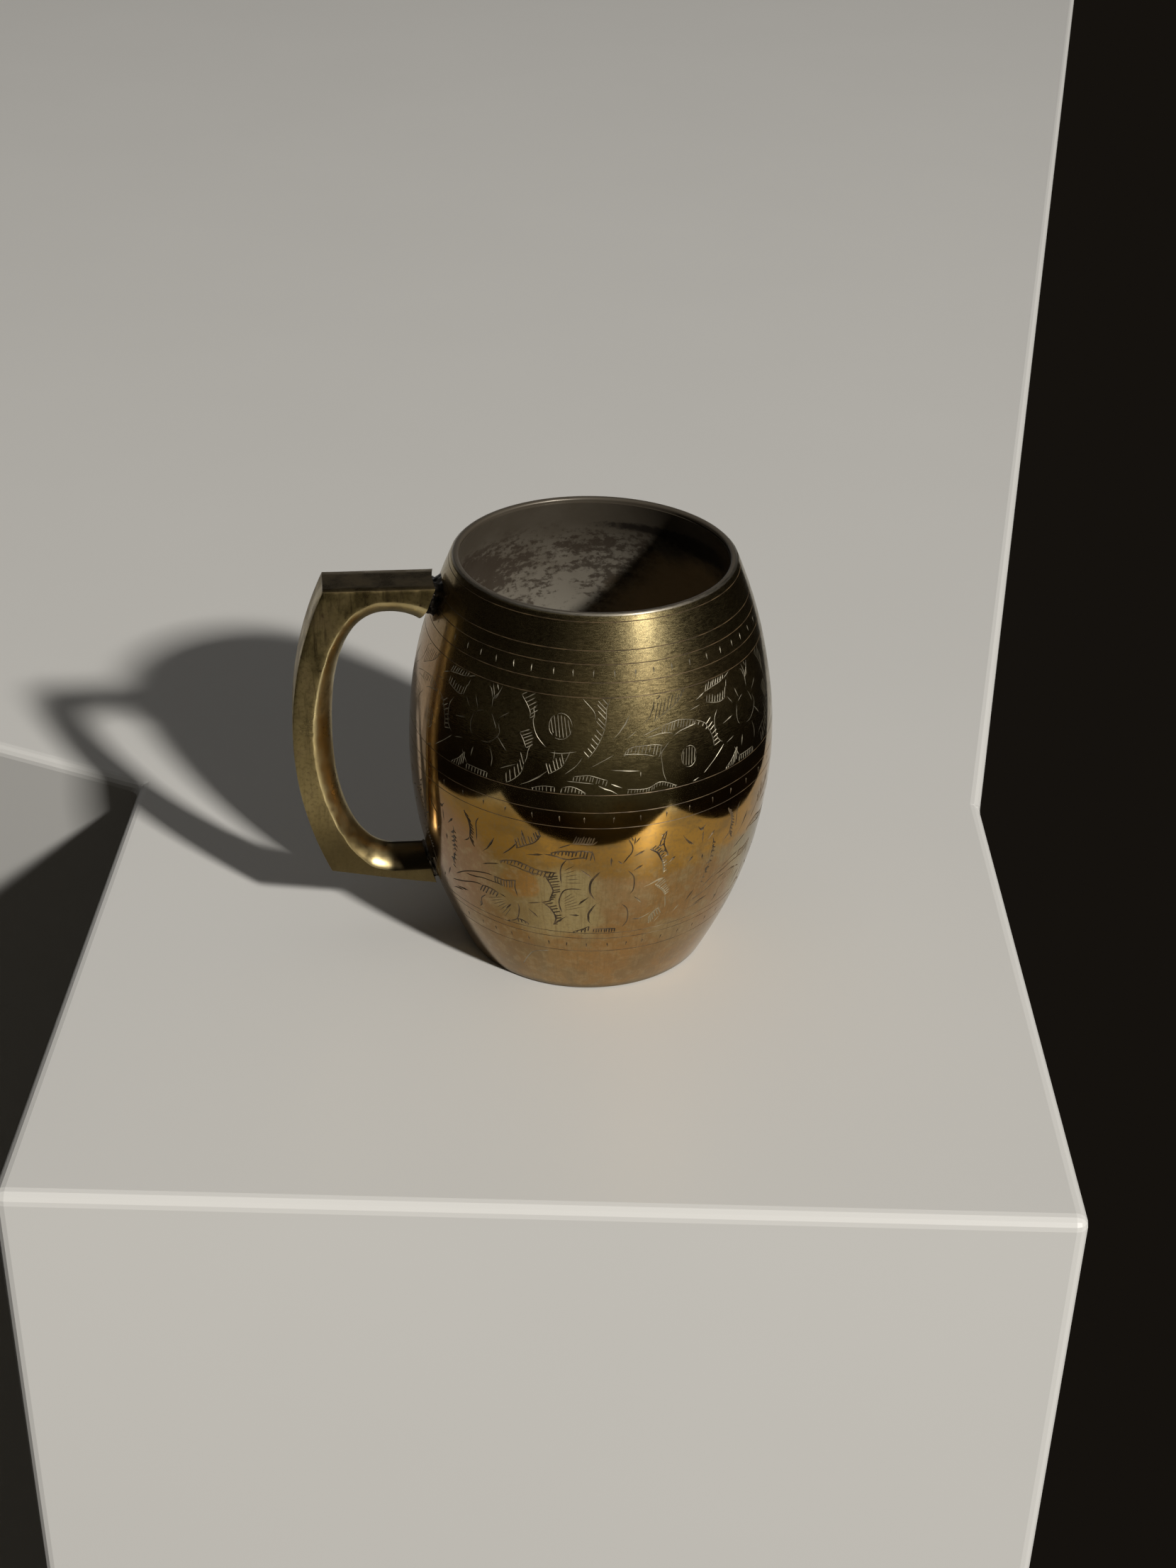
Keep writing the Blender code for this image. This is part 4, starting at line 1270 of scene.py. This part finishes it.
def filed_brass():
    """Cast brass with file marks, brown stains and a few pits, darker on its top with tarnish and a painted
    dark reflection, and darker low down with painted shade.
    """
    s = Shader("cast_brass_filed")
    cloud = s.noise(70.0, 5.0)
    stain = s.noise(150.0, 7.0, s.stretch((1.0, 1.0, 0.6)), 0.62)
    pits = s.noise(420.0, 3.0)
    tone = s.coat(s.blend(cloud, *FILED), stain, *CAST_STAIN_COAT)
    drawn = s.span(s.noise(1.0, 5.0, s.stretch((1100.0, 1100.0, 110.0)), 0.65), 0.48, 0.66)
    tone = s.mix(s.times(drawn, s.span(s.z, *DRAWN_LEVEL, 0.35, 0.8)), tone, DRAWN)
    # Tarnish and painted dark reflection on the top face.
    tone = s.coat(tone, s.z, *CAST_TOP_TARNISH_AND_SHADE)
    tone = s.coat(tone, s.noise(1000.0, 5.0), *CAST_GRAIN_COAT)
    tone = s.coat(tone, pits, *CAST_PIT_COAT)
    # Painted shade towards the lower arm.
    s.colour(s.coat(tone, s.z, *CAST_LOW_SHADE))
    s.gloss(s.span(stain, 0.35, 0.65, 0.26, 0.44))
    filed = s.bump(s.noise(1.0, 4.0, s.stretch((260.0, 260.0, 1900.0)), 0.65), 0.00004, 0.5)
    s.bump(pits, 0.00005, 0.3, filed)
    return s.material


def rubbed_brass():
    """The finger side of the handle, rubbed bright across its length, with a painted shadow on the lower
    arm next to the barrel.
    """
    s = Shader("cast_brass_rubbed")
    cloud = s.noise(70.0, 5.0)
    stain = s.noise(190.0, 6.0)
    tone = s.coat(s.blend(cloud, *RUBBED), stain, *RUBBED_STAIN_COAT)
    # Painted shadow: the lower arm's finger side goes black near the barrel, where the barrel's shadow
    # falls.
    arm_shade_mask = s.times(s.span(s.z, *ARM_SHADE_LEVEL), s.span(s.x, *ARM_SHADE_REACH, 0.25, 0.94))
    s.colour(s.mix(arm_shade_mask, tone, ARM_SHADE))
    s.gloss(s.span(stain, 0.35, 0.65, 0.27, 0.42))
    s.bump(s.noise(1.0, 4.0, s.stretch((220.0, 220.0, 1500.0)), 0.65), 0.00003, 0.35)
    return s.material


def tin_coat():
    """Wiped tin gone brownish grey, with smoky specks under the rim, dark streaks close to it, and painted
    bounce light in its shaded side.
    """
    s = Shader("tin_stained", metallic=0.35)
    cloud = s.noise(60.0, 6.0)
    tone = s.coat(s.blend(cloud, *TIN_GREY), s.z, *TIN_RIM_COAT)
    tone = s.coat(tone, s.z, *TIN_LOW_COAT)
    smoke = s.noise(7.0, 4.0, s.round_and_up(0.5, 30.0), 0.6)
    specks = s.noise(34.0, 8.0, s.round_and_up(0.6, 22.0), 0.7)
    place, fray, soft = TIN_SMOKE
    thick = s.plus(s.times(smoke, 0.8), s.times(s.patch(place, smoke, fray, soft), 0.13))
    level = s.times(s.span(s.z, *SPECKS_FOOT), s.span(s.z, *SPECKS_TOP))
    dirt = s.times(s.span(s.plus(specks, thick), 0.86, 1.02), level)
    tone = s.mix(s.times(dirt, 0.76), tone, SPECKS)
    # Painted bounce light in the tin's shaded side.
    tone = s.stain(tone, cloud, *TIN_SHADE_GLOW)
    for stain in TIN_STREAKS:
        tone = s.stain(tone, specks, *stain)
    s.colour(tone)
    s.gloss(s.span(cloud, 0.3, 0.7, 0.30, 0.46))
    s.bump(s.noise(1.0, 4.0, s.round_and_up(12.0, 700.0), 0.6), 0.00004, 0.3)
    return s.material


def solder(name, tones, roughness):
    """Lumpy soft solder."""
    s = Shader(name)
    cloud = s.noise(380.0, 5.0)
    s.colour(s.blend(cloud, *tones))
    s.gloss(s.span(cloud, 0.3, 0.7, roughness, roughness + 0.25))
    s.bump(s.noise(900.0, 4.0), 0.0002, 0.5)
    return s.material


def base_brass():
    """The dulled underside with turning rings."""
    s = Shader("base_brass_turned")
    cloud = s.noise(80.0, 5.0)
    s.colour(s.blend(cloud, *TURNED))
    s.gloss(s.span(cloud, 0.3, 0.7, 0.34, 0.5))
    length = s.node("ShaderNodeVectorMath", operation="LENGTH")
    s.put(length.inputs[0], s.stretch((1.0, 1.0, 0.0)))
    rings = s.node("ShaderNodeCombineXYZ")
    s.put(rings.inputs["X"], s.times(length.outputs["Value"], 1800.0))
    s.bump(s.noise(1.0, 2.0, rings.outputs["Vector"]), 0.00005, 0.4)
    return s.material


def stage_paint():
    """Plain pale matt paint."""
    s = Shader("stage_paint", metallic=0.0, roughness=0.38)
    s.colour(s.mix(s.noise(9.0, 3.0), *PAINT))
    return s.material


def add_stage():
    """A pale floor that comes forward as a narrower block under the mug."""
    outline = (
        (STAGE_LEFT, STAGE_FRONT), (STAGE_RIGHT, STAGE_FRONT), (STAGE_RIGHT, STAGE_STEP),
        (STAGE_FAR_RIGHT, STAGE_BACK), (STAGE_FAR_LEFT, STAGE_BACK), (STAGE_FAR_LEFT, STAGE_TURN),
        (STAGE_LEFT, STAGE_STEP),
    )
    block = bmesh.new()
    top = block.faces.new([block.verts.new((x, y, 0.0)) for x, y in outline])
    sides = bmesh.ops.extrude_face_region(block, geom=[top])
    lower = [item for item in sides["geom"] if isinstance(item, bmesh.types.BMVert)]
    bmesh.ops.translate(block, vec=(0.0, 0.0, -STAGE_DROP), verts=lower)
    bmesh.ops.recalc_face_normals(block, faces=block.faces)
    edges = block.edges[:]
    bmesh.ops.bevel(
        block, geom=edges, offset=STAGE_EDGE, segments=STAGE_EDGE_STEPS, profile=0.5, affect="EDGES"
    )
    mesh = bpy.data.meshes.new("stage")
    block.to_mesh(mesh)
    block.free()
    mesh.transform(Matrix.Rotation(math.radians(CAMERA_TURN), 4, "Z"))
    mesh.materials.append(stage_paint())
    stage = bpy.data.objects.new("stage", mesh)
    bpy.context.scene.collection.objects.link(stage)


def add_camera():
    """The camera at the photograph's viewing angle."""
    turn = Matrix.Rotation(math.radians(CAMERA_TURN), 4, "Z")
    tilt = Matrix.Rotation(math.radians(90 - CAMERA_DROP), 4, "X")
    roll = Matrix.Rotation(math.radians(CAMERA_ROLL), 4, "Z")
    data = bpy.data.cameras.new("camera")
    data.lens = CAMERA_LENS
    data.sensor_width = CAMERA_SENSOR
    data.clip_start = CAMERA_NEAR
    camera = bpy.data.objects.new("camera", data)
    camera.matrix_world = Matrix.Translation(CAMERA_PLACE) @ turn @ tilt @ roll
    bpy.context.scene.collection.objects.link(camera)
    bpy.context.scene.camera = camera


def add_lamp(name, place, target, size, power, colour):
    """A soft square lamp that faces a target."""
    data = bpy.data.lights.new(name, "AREA")
    data.shape = "SQUARE"
    data.size = size
    data.energy = power
    data.color = colour
    lamp = bpy.data.objects.new(name, data)
    way = Vector(target) - Vector(place)
    lamp.matrix_world = Matrix.Translation(place) @ way.to_track_quat("-Z", "Y").to_matrix().to_4x4()
    bpy.context.scene.collection.objects.link(lamp)


def add_world():
    """A dim room: pale low down behind the mug, a soft glow before it and overhead, dark to the sides."""
    world = bpy.data.worlds.new("room")
    bpy.context.scene.world = world
    world.use_nodes = True
    w = Nodes(world.node_tree)
    place = w.node("ShaderNodeTexCoord").outputs["Generated"]
    up = w.towards(place, (0.0, 0.0, 1.0))
    low = w.times(w.span(up, *BACK_GLOW_TOP), w.span(up, *BACK_GLOW_FOOT))
    behind = w.times(w.span(w.towards(place, (0.0, 1.0, 0.0)), *BACK_SPAN), low)
    tone = w.blend(w.towards(place, FRONT_GLOW_WAY), *FRONT_GLOW_SPAN, ROOM_DARK, FRONT_GLOW)
    tone = w.blend(up, *CEILING_SPAN, tone, CEILING_GLOW)
    tone = w.mix(behind, tone, BACK_GLOW)
    w.put(world.node_tree.nodes["Background"].inputs["Color"], tone)


def build():
    """The stage, the light and every piece of the mug."""
    bpy.context.scene.view_settings.view_transform = "Standard"
    add_camera()
    add_stage()
    add_world()
    for lamp in LAMPS:
        add_lamp(*lamp)

    # Cuts are scraped bright on the upper half and brown with old dirt on the lower half.
    # The bright cuts get painted shade inside the sheen, and dust elsewhere.
    bright = cut_brass("cut_bright", metallic=0.4, tones=BRIGHT_CUT, stains=DUST_AND_SHADE_CUTS)
    dirty = cut_brass("cut_dirty", metallic=0.35, tones=DIRTY_CUT, stains=BARE_CUTS)
    tin = tin_coat()
    add_barrel([barrel_brass(), bright, dirty, tin])
    add_handle([filed_brass(), rubbed_brass()])
    add_lining(tin)
    black = solder("solder_black", BLACK_SOLDER, roughness=0.3)
    grey = solder("solder_grey", GREY_SOLDER, roughness=0.35)
    upper = (HANDLE_TOP - UPPER_ARM_DEPTH, HANDLE_TOP - SOLDER_SPREAD)
    low = lower_edge(barrel_radius(lower_edge(OPENING_CENTRE)))
    lower = (low + SOLDER_SPREAD, low + LOWER_ARM_DEPTH - SOLDER_SPREAD)
    add_solder("upper_solder_lump", "upper_handle_solder", "upper_solder", black, UPPER_GAP, *upper)
    add_solder("lower_solder_lump", "lower_handle_solder", "lower_solder", grey, LOWER_GAP, *lower)
    for node, material in (("base_disc", base_brass()), ("base_solder_ring", grey)):
        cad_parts[node].data.materials.clear()
        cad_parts[node].data.materials.append(material)


build()
